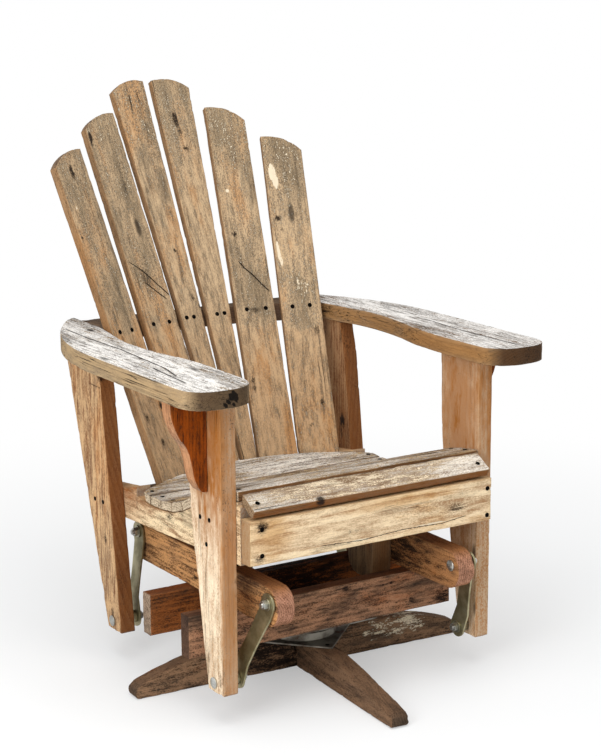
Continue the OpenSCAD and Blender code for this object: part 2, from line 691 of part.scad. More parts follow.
// Radius at which the edges of a flat slat's rear face touch the hollow of the rails
rail_hollow_r = back_r + slat_t;
slat_face_r = sqrt(rail_hollow_r * rail_hollow_r - slat_w * slat_w / 4) - slat_t;
// Angle about the hollow's axis of a slat's centre at distance x from the middle plane
function swing(x) = asin(x / slat_face_r);
function face_y(x) = slat_face_r * cos(swing(x)) - back_r;
// Forward lean that keeps a slat on the hollow at the cleat and at the back rail
function forward(x, lean) =
  let (x0 = x + cleat_screw_v * tan(lean), x1 = x + back_screw_v * tan(lean))
  atan((face_y(x0) - face_y(x1)) / (back_screw_v - cleat_screw_v));
module at_slat(x, lean) in_back() translate([x, face_y(x), 0]) rotate([0, lean, 0])
  rotate([forward(x, lean), 0, 0]) rotate([0, 0, -swing(x + back_screw_v * tan(lean))]) children();
// Outline of a slat: straight sides, a top that falls outward under a round crown
function crown(x0, z0, x1, z1) = bow([x0, z0], [x1, z1], slat_crown, 10);
module slat_board(shape) board_y(0, slat_t) polygon(shape);
function full_slat(h, fall, extra, tail_cut) = concat(
  [[slat_w / 2, -slat_tail], [-slat_w / 2 + tail_cut, -slat_tail], [-slat_w / 2, 0]],
  crown(-slat_w / 2 - extra, h, slat_w / 2, h - fall));
// An inner slat is cut from the same board but narrows to the seat on its outer edge
inner_axis = 20;
inner_side = inner_slat_gap / 2 - inner_axis;
inner_foot = inner_side + inner_slat_foot_w;
inner_head = inner_side + slat_w;
inner_grow = (inner_head - inner_foot) / (inner_slat_h - inner_slat_fall);
function inner_shape(less) = concat(
  [[inner_foot - slat_tail * inner_grow, -slat_tail], [inner_side, -slat_tail]],
  crown(inner_side, inner_slat_h, inner_head - less, inner_slat_h - inner_slat_fall));
// A slat's level screws: two through the back rail at height v and two through the cleat
module screw_pairs(v, x) for (p = [[x[0], v], [x[1], v], [x[2], cleat_screw_v], [x[3], cleat_screw_v]])
  translate([p.x, 0, p.y]) rotate([90 + recline, 0, 0]) children();
module inner_screws() at_slat(inner_axis, inner_slat_lean)
  screw_pairs(back_screw_v, [5, 22, -8, inner_foot - 15]) children();
module middle_screws(lean, v) at_slat(middle_slat_x, lean) screw_pairs(v, [-19, 22, -24, 24]) children();
module outer_screws(v) at_slat(outer_slat_x, outer_slat_lean) screw_pairs(v, [-18, 18, -24, 24]) children();
module inner_board(less) at_slat(inner_axis, inner_slat_lean) slat_board(inner_shape(less));
module middle_board(lean) at_slat(middle_slat_x, lean)
  slat_board(full_slat(middle_slat_h, middle_slat_fall, 0, 0));
module outer_board(extra) at_slat(outer_slat_x, outer_slat_lean)
  slat_board(full_slat(outer_slat_h, outer_slat_fall, extra, outer_tail_cut));
module inner_slat(less) in_seat() difference() {
  inner_board(less);
  inner_screws() back_screw_hole();
}
module middle_slat(lean, v) in_seat() difference() {
  middle_board(lean);
  middle_screws(lean, v) back_screw_hole();
}
module outer_slat(extra, v) in_seat() difference() {
  outer_board(extra);
  outer_screws(v) back_screw_hole();
}
module back_slat_left_outer() color("#a08566") left() outer_slat(left_outer_extra, outer_screw_v[0]);
module back_slat_left_middle() color("#9c8467") left() middle_slat(left_middle_lean, middle_screw_v[0]);
module back_slat_left_inner() color("#a3896b") left() inner_slat(left_inner_less);
module back_slat_right_inner() color("#a3896b") inner_slat(0);
module back_slat_right_middle() color("#9c8467") middle_slat(middle_slat_lean, middle_screw_v[1]);
module back_slat_right_outer() color("#a08566") outer_slat(0, outer_screw_v[1]);
module back_screw_hole() translate([0, 0, -back_screw_sink]) screw_hole(back_screw);
module all_back_screws() {
  left() {
    middle_screws(left_middle_lean, middle_screw_v[0]) children();
    outer_screws(outer_screw_v[0]) children();
  }
  middle_screws(middle_slat_lean, middle_screw_v[1]) children();
  outer_screws(outer_screw_v[1]) children();
  both() inner_screws() children();
}
module all_back_boards() {
  left() {
    inner_board(left_inner_less);
    middle_board(left_middle_lean);
    outer_board(left_outer_extra);
  }
  inner_board(0);
  middle_board(middle_slat_lean);
  outer_board(0);
}
module back_screws() color("#57524c") in_seat()
  all_back_screws() translate([0, 0, -back_screw_sink]) screw(back_screw);

// Rails behind the slats, hollowed to meet them
back_rail_end_y = back_y + (leg_h + arm_t / 2 - back_up) * tan(recline) - 28;
module back_rail() color("#5d4838") in_seat() difference() {
  translate([-arm_in, back_rail_end_y - 60, leg_h]) cube([arm_gap, back_rail_d + 60, arm_t]);
  back_hollow(rail_hollow_r);
  all_back_boards();
  all_back_screws() back_screw_hole();
}
module back_cleat() color("#7a5f47") in_seat() difference() {
  translate([-seat_rail_in, back_y - 88, cleat_up - cleat_t])
    cube([2 * seat_rail_in, cleat_rear - back_y + 88, cleat_t]);
  back_hollow(rail_hollow_r);
  all_back_boards();
  all_back_screws() back_screw_hole();
}

// Arms: boards with a rounded front, a waist beside the sitter and a long rear corner
arm_nose = smooth([
  [arm_in + 2, 56 - arm_front], [arm_in + 6, 36 - arm_front], [arm_in + 15, 20 - arm_front],
  [arm_in + 31, 7 - arm_front], [arm_in + 55, -arm_front], [arm_out - 45, 1 - arm_front],
  [arm_out - 26, 7 - arm_front], [arm_out - 11, 19 - arm_front], [arm_out - 2, 37 - arm_front],
  [arm_out, 60 - arm_front]], 3);
// A point of the waist: part of the arm's length from its rear end, distance from the inner edge
function waist(k, x) = [arm_in + x, arm_rear - k * arm_len];
arm_waist = smooth([
  waist(0.156, 0), waist(0.255, 12), waist(0.35, 24), waist(0.448, 26), waist(0.545, 19),
  waist(0.635, 6), waist(0.713, 1), waist(0.796, 0), waist(0.87, 1),
  [arm_in + 2, 56 - arm_front]], 4);
arm_corner_a = acos(1 - (arm_w - arm_rear_w) / arm_rear_r);
arm_rear_run = arm_rear_r * sin(arm_corner_a) + 12;
arm_shape = concat(
  arm_nose,
  arc([arm_out - arm_rear_r, arm_rear - arm_rear_run], arm_rear_r, 0, arm_corner_a, 14),
  [[arm_out - arm_rear_r * (1 - cos(arm_corner_a)) - 16, arm_rear], [arm_in, arm_rear]],
  [for (i = [0 : len(arm_waist) - 2]) arm_waist[i]]);
module arm() in_seat() translate([0, 0, leg_h]) linear_extrude(arm_t) polygon(arm_shape);
module arm_left() color("#b9a78e") left() arm();
module arm_right() color("#a98d70") arm();

// Brackets: curved braces from the front legs' outer faces to the arms
bracket_curve = smooth([
  [bracket_w, 0], [bracket_w - 2, -31], [bracket_w - 9, -53], [bracket_w - 19, -74],
  [bracket_w - 32, -92], [bracket_w * 0.45, 58 - bracket_h], [bracket_w * 0.36, 26 - bracket_h],
  [bracket_w * 0.22, 5 - bracket_h], [8, -bracket_h]], 3);
module bracket(back) in_seat() translate([leg_out, 0, leg_h]) board_y(back, bracket_t)
  polygon(concat([[0, -bracket_h], [0, 0]], bracket_curve));
module bracket_left() color("#7b4426") left() bracket(left_bracket_back);
module bracket_right() color("#7b4426") bracket(right_bracket_back);

foot_bar_side();
foot_bar_front();
swivel_plate_lower();
foot_screws();
bearing_balls();
swivel_rivet();
swivel_plate_upper();
cross_member_front();
cross_member_rear();
frame_rail_left();
frame_rail_right();
corner_block_left();
corner_block_right();
upper_pivot_bolts();
upper_pivot_washers();
upper_pivot_nuts();
plate_screws();
frame_screws();
front_link_left();
front_link_right();
rear_link_left();
rear_link_right();
front_leg_left();
front_leg_right();
rear_leg_left();
rear_leg_right();
seat_rail_left();
seat_rail_right();
apron();
front_slat();
color("#d8d0bf") deck_slat(0);  // deck_slat_1
color("#d8d0bf") deck_slat(1);  // deck_slat_2
color("#c9bca3") deck_slat(2);  // deck_slat_3
color("#c0ae92") deck_slat(3);  // deck_slat_4
color("#c0ae92") deck_slat(4);  // deck_slat_5
color("#b9a688") deck_slat(5);  // deck_slat_6
color("#b9a688") deck_slat(6);  // deck_slat_7
color("#b9a688") deck_slat(7);  // deck_slat_8
deck_slat_rear();
back_slat_left_outer();
back_slat_left_middle();
back_slat_left_inner();
back_slat_right_inner();
back_slat_right_middle();
back_slat_right_outer();
back_rail();
back_cleat();
arm_left();
arm_right();
bracket_left();
bracket_right();
lower_pivot_bolts();
lower_pivot_spacers();
lower_pivot_washers();
lower_pivot_nuts();
back_screws();
seat_screws();
apron_screws();
leg_screws();
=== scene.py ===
import math
import bpy
import numpy as np
from mathutils import Matrix


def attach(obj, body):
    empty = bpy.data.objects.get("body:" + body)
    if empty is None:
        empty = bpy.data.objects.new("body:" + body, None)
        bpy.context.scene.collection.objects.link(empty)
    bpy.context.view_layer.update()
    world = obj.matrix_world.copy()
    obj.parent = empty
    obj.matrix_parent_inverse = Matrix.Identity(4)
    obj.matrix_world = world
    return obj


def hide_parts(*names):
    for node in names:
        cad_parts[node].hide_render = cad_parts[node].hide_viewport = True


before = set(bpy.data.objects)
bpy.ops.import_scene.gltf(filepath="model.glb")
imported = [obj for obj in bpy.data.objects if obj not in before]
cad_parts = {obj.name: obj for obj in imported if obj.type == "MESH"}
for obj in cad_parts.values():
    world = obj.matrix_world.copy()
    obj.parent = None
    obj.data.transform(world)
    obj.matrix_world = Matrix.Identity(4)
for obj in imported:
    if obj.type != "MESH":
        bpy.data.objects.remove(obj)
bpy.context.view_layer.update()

# Crossed foot: two half-lapped softwood bars, sawn to a long slope with blunt tips. They have
# stood outdoors on wet ground: dark grey-brown wood with black knots, worn orange where rubbed.
# Lengths are in millimetres here and in the sections up to the studio.
MM = 0.001
ORIGINS = {"base": (0, 0, 0), "turntable": (0, 0, 0), "seat": (0, -212.06, 61.89)}  # of each body's frame
OBJECT_OUTPUT = 3  # the Texture Coordinate node's output with the object's own metres
SEED_STEP = 1.37  # metres between the places of two boards in the endless pattern of wood


class Val:
    """A number that varies over the surface. Python's operators add Math nodes for it."""

    def __init__(self, tree, socket):
        self.tree = tree
        self.socket = socket

    def math(self, operation, a, b=None):
        node = self.tree.nodes.new("ShaderNodeMath")
        node.operation = operation
        for slot, value in enumerate((a, b)):
            if isinstance(value, Val):
                self.tree.links.new(value.socket, node.inputs[slot])
            elif value is not None:
                node.inputs[slot].default_value = value
        return Val(self.tree, node.outputs[0])

    def fract(self):
        return self.math("FRACT", self)

    def size(self):
        return self.math("ABSOLUTE", self)

    def most(self, other):
        return self.math("MAXIMUM", self, other)

    def rise(self, low, high):
        """0 below low, 1 above high, an S-curve between."""
        node = self.tree.nodes.new("ShaderNodeMapRange")
        node.interpolation_type = "SMOOTHSTEP"
        self.tree.links.new(self.socket, node.inputs[0])
        node.inputs[1].default_value = low
        node.inputs[2].default_value = high
        return Val(self.tree, node.outputs[0])


for name, operation in {"add": "ADD", "sub": "SUBTRACT", "mul": "MULTIPLY", "truediv": "DIVIDE",
                        "pow": "POWER"}.items():
    setattr(Val, "__%s__" % name, lambda a, b, operation=operation: a.math(operation, a, b))
    setattr(Val, "__r%s__" % name, lambda a, b, operation=operation: a.math(operation, b, a))


def paint(code):
    """A colour written as a hex code, as the linear numbers that a shader takes."""
    parts = [int(code[i:i + 2], 16) / 255 for i in (0, 2, 4)]
    return tuple(c / 12.92 if c <= 0.04045 else ((c + 0.055) / 1.055) ** 2.4 for c in parts) + (1.0,)


class Finish:
    """A material under construction."""

    def __init__(self, name):
        self.material = bpy.data.materials.new(name)
        self.material.use_nodes = True
        self.tree = self.material.node_tree
        self.tree.nodes.clear()

    def node(self, kind, settings, sockets, out=0):
        """Adds a node: its settings first, then the values or links of its sockets."""
        node = self.tree.nodes.new(kind)
        for key, value in settings.items():
            setattr(node, key, value)
        for key, value in sockets.items():
            if isinstance(value, Val):
                self.tree.links.new(value.socket, node.inputs[key])
            else:
                node.inputs[key].default_value = value
        return Val(self.tree, node.outputs[out])

    def split(self, vector):
        node = self.node("ShaderNodeSeparateXYZ", {}, {0: vector}).socket.node
        return [Val(self.tree, node.outputs[i]) for i in range(3)]

    def stretch(self, vector, scale):
        return self.node("ShaderNodeVectorMath", {"operation": "MULTIPLY"}, {0: vector, 1: scale})

    def noise(self, vector, scale, detail=2.0, rough=0.5):
        return self.node("ShaderNodeTexNoise", {}, {
            "Vector": self.stretch(vector, scale), "Scale": 1.0, "Detail": detail, "Roughness": rough})

    def mix(self, amount, a, b):
        return self.node("ShaderNodeMix", {"data_type": "RGBA"}, {0: amount, 6: a, 7: b}, 2)

    def done(self, colour, rough, height=None, depth=None, metal=0.0, specular=0.5):
        look = {"Base Color": colour, "Roughness": rough, "Metallic": metal, "Specular IOR Level": specular}
        shader = self.node("ShaderNodeBsdfPrincipled", {}, look).socket.node
        if height is not None:
            bump = self.node("ShaderNodeBump", {}, {"Height": height, "Distance": depth, "Strength": 1.0})
            self.tree.links.new(bump.socket, shader.inputs["Normal"])
        out = self.tree.nodes.new("ShaderNodeOutputMaterial")
        self.tree.links.new(shader.outputs[0], out.inputs[0])
        return self.material


def wood(name, colours, edge, stain="1d1512", bare="e6d8bc", white="ece7dd", ends="8f857a", ring=0.005,
         rings=0.4, streaks=0.5, grit=0.6, greying=0.5, warming=0.5, bleach=0.0, mould=0.5, cracks=0.3,
         siding=0.6, edging=0.35, glints=0.35, flank=0.5, calm=0.6, lines=(), gape=1.0):
    """Weathered softwood: its colours (pale, dark, grey, warm, side), then how strong each
    effect is. Growth rings are the distance to the trunk's heart, pushed about by noise and
    cut into repeating bands; fibres, streaks and drying cracks are noise drawn out along the
    grain; grey, warm and bleached patches are broad noise broken up by finer noise, and the
    dark line round each bleached flake is painted shadow; mould is where fine noise passes a
    limit; a long crack follows a broken line. The mesh carries the grain's metres, the marks
    (stains and painted shade, bared, warm above 0 and grey below) and the edges (worn, sawn
    end, upward)."""
    f = Finish(name)
    pale, dark, grey, warm, side, stain, bare, white, ends, edge = map(
        paint, [*colours.split(), stain, bare, white, ends, edge])
    fields = [f.node("ShaderNodeAttribute", {"attribute_name": key}, {}, 1)
              for key in ("grain", "marks", "edges")]
    grain = fields[0]
    (x, y, z), (stained_and_shaded, bared, warmed), (worn, sawn, top) = map(f.split, fields)
    cell = f.node("ShaderNodeTexVoronoi", {"feature": "F1"},
                  {"Vector": f.stretch(grain, (4.2, 14.0, 14.0)), "Scale": 1.0})
    knot = 1 - cell.rise(0.05, 0.11)
    swirl = 1 - cell.rise(0.04, 0.4)
    heart = (y * y + z * z) ** 0.5
    drift = (f.noise(grain, (1.6, 7, 7)) - 0.5) * 0.024 + (f.noise(grain, (9, 50, 50)) - 0.5) * 0.0021
    band = ((heart + drift + swirl * 0.004) / ring).fract()
    late = band.rise(0.2, 0.85) * (1 - band.rise(0.9, 1.0))
    fibre = f.noise(grain, (26, 640, 640), 2.0, 0.6)
    fine = f.noise(grain, (230, 430, 430), 2.0, 0.7)
    mid = f.noise(grain, (22, 95, 95), 4.0, 0.75)
    broad = f.noise(grain, (5.5, 19, 19), 4.0, 0.66)
    tone = f.noise(grain, (2.0, 8, 8))
    # The same noises as swings about 0.
    fibres, fines, mids, broads = (noise - 0.5 for noise in (fibre, fine, mid, broad))
    opened = f.noise(grain, (4, 26, 26)).rise(0.66 - 0.2 * cracks, 0.72 - 0.2 * cracks)
    split = (1 - (f.noise(grain, (3.0, 190, 190), 1.0) - 0.5).size().rise(0.0, 0.018)) * opened
    for line in lines:
        middle = 0 * x + line[0][1]
        for (a0, b0), (a1, b1) in zip(line, line[1:]):
            part = {0: x, 1: a0, 2: a1, 3: 0.0, 4: b1 - b0}
            middle = middle + f.node("ShaderNodeMapRange", {"clamp": True}, part)
        gap = (y - middle + fines * 0.003).size()
        first, last = line[0][0], line[-1][0]
        inside = x.rise(first - 0.004, first + 0.004) * (1 - x.rise(last - 0.004, last + 0.004))
        split = split.most((1 - gap.rise(0.0006 * gape, 0.0016 * gape)) * inside * top.rise(0.5, 0.9))

    glow = 0.5 - broads * 1.6 + (tone - 0.5) * 1.2 + mids * 0.5
    warmth = glow.rise(0.72 - 0.45 * warming, 1.05 - 0.35 * warming) * 0.65 + warmed.most(0) * 0.7
    greyed = (0 - warmed).most(0)
    dull = broad + mids * 0.7 + fines * 0.35 - warmed * 0.3
    flakes_and_rim_shadow = []
    if bleach:
        flake = (1 - broad) * 0.45 + tone * 0.3 + mid * 0.5 + fibres * 0.4 + fines * 0.4
        limit = 0.96 - 0.42 * bleach
        above = top.rise(0.4, 0.9)
        # A dark line just outside each bleached flake: painted shadow along the flake's edge.
        rim = flake.rise(limit - 0.12, limit - 0.05) * (1 - flake.rise(limit - 0.03, limit + 0.01))
        flakes_and_rim_shadow = [(rim * above * 0.72, dark),
                    (flake.rise(limit - 0.03, limit + 0.03) * above * 0.92, white)]
    speckle = fines * (greyed * 0.9 + calm) * grit * 3.4
    shade = (late * rings * 0.7 + mids * streaks * 3.0 + speckle + fibres * 0.8) * (top * (1 - flank) + flank)
    pores = (late * 0.18 + fines * 1.6 + mids + 0.35).rise(0.0, 1.0)
    patch = bared * (1 + mids * 2.4 + fines * 1.2)
    glint = (fine + mids * 0.5).rise(0.58, 0.72)
    spots = (1 - fine + broads * 0.9).rise(0.78 - 0.25 * mould, 0.88 - 0.2 * mould)
    # Stain marks pull the colour towards the stain colour; the broad ones laid under the seat are painted
    # shade.
    blot_and_shade = stained_and_shaded * (1 + mids * 3.6 + fines * 2.0)
    coats = [(dull.rise(0.58 - 0.4 * greying, 1.07 - 0.4 * greying) * 0.9, grey),
             ((1 - top) * siding * (1.25 - mid * 0.5), side),
             (worn * edging * (mid * 1.6 - 0.1), edge),
             *flakes_and_rim_shadow,
             ((shade + 0.3).rise(0.0, 1.25), dark),
             (sawn * 0.85, f.mix(pores, ends, dark)),
             (patch.rise(0.36, 0.46) * 0.92, bare),
             (glint * (greyed * 0.9 + 0.35) * grit * glints * (1 - sawn) * top, bare),
             (spots * 0.6 * (1 - bared * 0.9), stain),
             (knot * 0.7, stain),
             (blot_and_shade.rise(0.12, 0.85) * 0.93, stain),
             (split * 0.93, paint("15100c"))]
    colour = f.mix(warmth, pale, warm)
    for amount, coat in coats:
        colour = f.mix(amount, colour, coat)
    height = fibre * 0.35 - late * 0.3 + mid * 0.35 - split * 1.8 - spots * 0.35 + fine * 0.35
    rough = 0.92 - late * 0.1 - knot * 0.2
    return f.done(colour, rough, height, 0.0009, specular=0.1)


def bumps(points, size, seed):
    """Smooth random heights from 0 to 1. Each corner of a lattice of boxes gets a value by
    mixing its three whole numbers with large primes; S-curves blend the values in a box."""
    p = points / np.asarray(size, float) + 17.3 * seed
    cell = np.floor(p).astype(np.int64)
    part = p - cell
    part = part * part * (3 - 2 * part)
    total = np.zeros(len(p))
    for corner in range(8):
        step = np.array([corner & 1, corner >> 1 & 1, corner >> 2 & 1])
        at = (cell + step).astype(np.uint64) & 0xFFFFFFFF
        mixed = (at[:, 0] * 73856093 ^ at[:, 1] * 19349663 ^ at[:, 2] * 83492791) & 0xFFFFFFFF
        mixed = (mixed ^ mixed >> np.uint64(13)) * np.uint64(1274126177) & 0xFFFFFFFF
        mixed = (mixed ^ mixed >> np.uint64(16)) & 0xFFFF
        total += mixed / 65535.0 * np.prod(np.where(step, part, 1 - part), axis=1)
    return total


def run_along(path):
    """The distance from a broken line's start to each of its points."""
    return np.concatenate([[0], np.cumsum(np.linalg.norm(np.diff(path, axis=0), axis=1))])


def along(path, n):
    """n points at even distances along a broken line."""
    path = np.asarray(path, float)
    run = run_along(path)
    at = np.linspace(0, run[-1], n)
    return np.stack([np.interp(at, run, path[:, k]) for k in range(path.shape[1])], 1)


def stations(a, b, step, *corners):
    """Places from a to b about one step apart, and each corner's own place."""
    even = np.linspace(a, b, int(round((b - a) / step)) + 1)
    return np.unique(np.concatenate([even, corners]))


def smooth(path, m):
    """Smooth curve through points: between two of them a cubic whose slope at each point is
    half the step from the point before it to the point after it."""
    p = np.asarray(path, float)
    p = np.concatenate([p[:1], p, p[-1:]])
    t = np.arange(m)[:, None] / m
    parts = [2 * b + (c - a) * t + (2 * a - 5 * b + 4 * c - d) * t ** 2 + (3 * b - a - 3 * c + d) * t ** 3
             for a, b, c, d in zip(p, p[1:], p[2:], p[3:])]
    return np.concatenate([part * 0.5 for part in parts] + [p[-1:]])


def bow(p, q, rise, n):
    """Arc from p to q, n steps, that stands rise over the middle of its chord on its left."""
    p, q = np.asarray(p, float), np.asarray(q, float)
    chord = np.linalg.norm(q - p)
    r = chord ** 2 / (8 * rise) + rise / 2
    tilt = math.atan2(q[1] - p[1], q[0] - p[0])
    middle = (p + q) / 2 - (r - rise) * np.array([-math.sin(tilt), math.cos(tilt)])
    half = math.asin(chord / (2 * r))
    a = tilt + math.pi / 2 + np.linspace(half, -half, n + 1)
    return middle + r * np.stack([np.cos(a), np.sin(a)], 1)


def surface(name, body, finish, node, points, quads, fields):
    """A closed skin of four-cornered faces in the body's own millimetres, with values kept at
    its points."""
    points = points + np.array(ORIGINS[body])
    a, b, c, d = (points[quads[:, k]] for k in range(4))
    volume = np.einsum("ij,ij->i", a, np.cross(b, c)).sum() + np.einsum("ij,ij->i", a, np.cross(c, d)).sum()
    if volume < 0:
        quads = quads[:, ::-1]
    mesh = bpy.data.meshes.new(name)
    mesh.vertices.add(len(points))
    mesh.vertices.foreach_set("co", (points * MM).ravel())
    mesh.loops.add(quads.size)
    mesh.loops.foreach_set("vertex_index", quads.astype(np.int32).ravel())
    mesh.polygons.add(len(quads))
    mesh.polygons.foreach_set("loop_start", np.arange(0, quads.size, 4, dtype=np.int32))
    mesh.polygons.foreach_set("use_smooth", np.ones(len(quads), bool))
    for key, values in fields.items():
        kept = mesh.attributes.new(key, "FLOAT_VECTOR", "POINT")
        kept.data.foreach_set("vector", values.astype(np.float32).ravel())
    mesh.update(calc_edges=True)
    mesh.materials.append(finish)
    piece = bpy.data.objects.new(name, mesh)
    bpy.context.scene.collection.objects.link(piece)
    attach(piece, body)
    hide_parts(node)


def unit(v):
    return v / np.maximum(np.linalg.norm(v, axis=1, keepdims=True), 1e-9)


def faces(grid):
    """The four-cornered faces between the points of a grid, which holds their numbers."""
    return np.stack([grid[:-1, :-1], grid[1:, :-1], grid[1:, 1:], grid[:-1, 1:]], -1).reshape(-1, 4)


def tube(grid):
    """The same between closed rings of points, one ring a row."""
    return faces(np.concatenate([grid, grid[:, :1]], 1))


def net(ring, n, m):
    """Fills a face whose rim has n points on each long edge and m on each end: each inner
    point is the blend of the edges, plus the blend of what the ends stand out from straight.
    Returns the inner points and how far each is from the rim."""
    low, high = ring[:n], ring[n + m - 2:2 * n + m - 2][::-1]
    first = np.concatenate([ring[2 * n + m - 3:], ring[:1]])[::-1]
    last = ring[n - 1:n + m - 1]
    run = run_along((low + high) / 2)
    u = (run / run[-1])[:, None, None]
    v = np.linspace(0, 1, m)[None, :, None]
    flat = low[:, None] * (1 - v) + high[:, None] * v
    grid = flat + (1 - u) * (first[None] - flat[:1]) + u * (last[None] - flat[-1:])
    wide = np.linalg.norm(high - low, axis=1)[:, None]
    far = np.minimum(np.minimum(v, 1 - v)[..., 0] * wide, np.minimum(u, 1 - u)[..., 0] * run[-1])
    return grid[1:-1, 1:-1].reshape(-1, 3), far[1:-1, 1:-1].ravel()


def net_grid(ring, inner, n, m):
    """The numbers of a net's points, from the first one of its rim and the first inner one."""
    grid = np.zeros((n, m), np.int64)
    grid[:, 0] = ring + np.arange(n)
    grid[-1, 1:-1] = ring + n + np.arange(m - 2)
    grid[:, -1] = ring + n + m - 2 + np.arange(n)[::-1]
    grid[0, 1:-1] = ring + 2 * n + m - 2 + np.arange(m - 2)[::-1]
    grid[1:-1, 1:-1] = inner + np.arange((n - 2) * (m - 2)).reshape(n - 2, m - 2)
    return grid


def marked(points, marks, thick, seed):
    """What the marks say at each point: stains and painted shade, bared, and warm above 0
    or grey below. A kind's name stands before its marks. A mark is an ellipsoid with a
    ragged rim: centre a and b, radii a and b, amount, and its depth and radius there or else
    it lies on the face."""
    kinds = np.zeros((len(points), 3))
    ragged = bumps(points, (16, 6, 6), seed + 0.4) - 0.5
    for mark in marks:
        if isinstance(mark, str):
            slot = {"stain": 0, "bare": 1, "warm": 2, "grey": 2}[mark]
            sign = -1 if mark == "grey" else 1
            continue
        a, b, ra, rb, amount, w, rw = *mark, *(0, thick * 0.5)[len(mark) - 5:]
        gaps = [(points[:, 0] - a) / ra, (points[:, 1] - b) / rb, (points[:, 2] - w) / rw]
        spot = amount * np.clip(1.35 - np.linalg.norm(gaps, axis=0) - 0.5 * ragged, 0, 1)
        kinds[:, slot] = np.where(spot > abs(kinds[:, slot]), sign * spot, kinds[:, slot])
    return kinds


def rim_rows(radius, thick):
    """The rows down a board's side, between two quarter circles: how far in each lies, how
    deep, and how much it faces sideways and up."""
    rounded = []
    for angle in np.radians([0, 30, 60]):
        c, s = math.cos(angle), math.sin(angle)
        rounded.append((radius * (1 - s), radius * (1 - c), s, c))
    parts = np.linspace(0, 1, max(2, int(round(thick / 5))))
    straight = [(radius * 0, radius + (thick - 2 * radius) * part, 1.0, 0.0) for part in parts]
    return rounded + straight + [(inset, thick - depth, s, -c) for inset, depth, s, c in rounded[::-1]]


def plank(node, body, finish, place, at, low, high, thick, heart, seed, start=None, end=None,
          low_under=None, high_under=None, across=2.6, arris=2.0, marks=()):
    """A board. Its face is a net drawn between two long edges and two ends. The arris all
    round is a quarter circle, the sides are rows down to the under face, and every point is
    pressed inward by the wear of the years: broad waves, fibres' ends and chips at the arris.
    Edges are places across at the stations along, or paths where there are no stations.
    place turns the length along, the place across and the depth into X, Y and Z."""
    def edge(across):
        return across if at is None else np.stack([at, np.broadcast_to(across, at.shape)], 1)

    low, high = edge(low), edge(high)
    n = len(low)
    m = max(4, int(round(np.median(np.linalg.norm(high - low, axis=1)) / across)) + 1)
    t = np.linspace(0, 1, m)[:, None]

    def ends(first, last, curve, a, b):
        straight = first + (last - first) * t
        return straight if curve is None else along(curve, m) + a + (b - a) * t

    low2 = low if low_under is None else edge(low_under)
    high2 = high if high_under is None else edge(high_under)
    top_start, top_end = ends(low[0], high[0], start, 0, 0), ends(low[-1], high[-1], end, 0, 0)
    und_start = ends(low2[0], high2[0], start, low2[0] - low[0], high2[0] - high[0])
    und_end = ends(low2[-1], high2[-1], end, low2[-1] - low[-1], high2[-1] - high[-1])
    loop = np.concatenate([low, top_end[1:-1], high[::-1], top_start[-2:0:-1]])
    under = np.concatenate([low2, und_end[1:-1], high2[::-1], und_start[-2:0:-1]])
    count = len(loop)
    turn = np.sign(np.sum(loop[:, 0] * np.roll(loop[:, 1], -1) - loop[:, 1] * np.roll(loop[:, 0], -1)))
    ahead = unit(np.roll(loop, -1, 0) - loop)
    normal = turn * np.stack([-ahead[:, 1], ahead[:, 0]], 1)
    before = np.roll(normal, 1, 0)
    inward = (normal + before) / np.maximum(1 + np.sum(normal * before, 1, keepdims=True), 0.5)
    spot = np.concatenate([loop, np.zeros((count, 1))], 1)
    radius = np.minimum(arris * (0.65 + 0.9 * bumps(spot, (26, 14, 9), seed + 0.1) ** 2), thick * 0.4)

    rows = rim_rows(radius, thick)
    end_part = np.clip(abs(unit(inward)[:, 0]) * 1.9 - 0.6, 0, 1)
    rings, pushes, rims = [], [], []
    for inset, depth, s, c in rows:
        base = loop + (under - loop) * (depth / thick)[:, None]
        rings.append(np.concatenate([base + inward * inset[:, None], depth[:, None]], 1))
        pushes.append(np.concatenate([unit(inward) * s, np.full((count, 1), c)], 1))
        rims.append(np.minimum(depth, thick - depth) * (abs(c) < 0.01))

    face, face_rim = net(rings[0], n, m)
    back, back_rim = net(rings[-1], n, m)
    k = len(rings)
    points = np.concatenate(rings + [face, back])
    flat = [np.tile([0, 0, way], (len(face), 1)) for way in (1.0, -1.0)]
    push = np.concatenate(pushes + flat)
    rim = np.concatenate(rims + [face_rim, back_rim])
    sawn = np.concatenate([end_part * (s > 0.8) for _, _, s, _ in rows] + [np.zeros(len(face) + len(back))])
    top = faces(net_grid(0, k * count, n, m))
    bottom = faces(net_grid((k - 1) * count, k * count + len(face), n, m))[:, ::-1]
    quads = np.concatenate([top, tube(np.arange(k * count).reshape(k, count)), bottom])

    wave = 0.12 + 0.55 * bumps(points, (85, 21, 21), seed) + 0.22 * bumps(points, (21, 5, 5), seed + 0.3)
    chip = np.maximum(bumps(points, (13, 7, 7), seed + 0.6) - 0.68, 0) * 7 * np.exp(-rim / 3.5)
    fray = sawn * bumps(points, (3, 3, 3), seed + 0.8) * 0.8
    upward = np.clip(push[:, 2] * 1.2, 0, 1) + 0.35 * (push[:, 2] < -0.9)
    fields = {"grain": points * MM + [SEED_STEP * seed, -heart[0] * MM, -heart[1] * MM],
              "edges": np.stack([np.exp(-rim / 4.0), sawn, upward], 1),
              "marks": marked(points, marks, thick, seed)}
    worn = place(*(points + push * (wave + chip + fray)[:, None]).T)
    surface("wood_" + node, body, finish, node, np.stack(worn, 1), quads, fields)


foot_wood = wood(
    "foot wood", "957458 21160f 6c5746 a85f2c 5c4433", ends="5c4c3e", edge="7a5a42", grit=1.4, streaks=0.9,
    greying=0.62, warming=0.2, mould=0.75, cracks=0.6, edging=0.3, siding=0.5, glints=0.12)
FOOT_W, FOOT_H = 37.0, 66.0
FOOT_TIP, FOOT_LEVEL = 24.0, 150.0  # the tip's height, and where the level middle ends
SIDE_TURN, FRONT_TURN = -2.5, 86.0  # the bars' directions in degrees from X


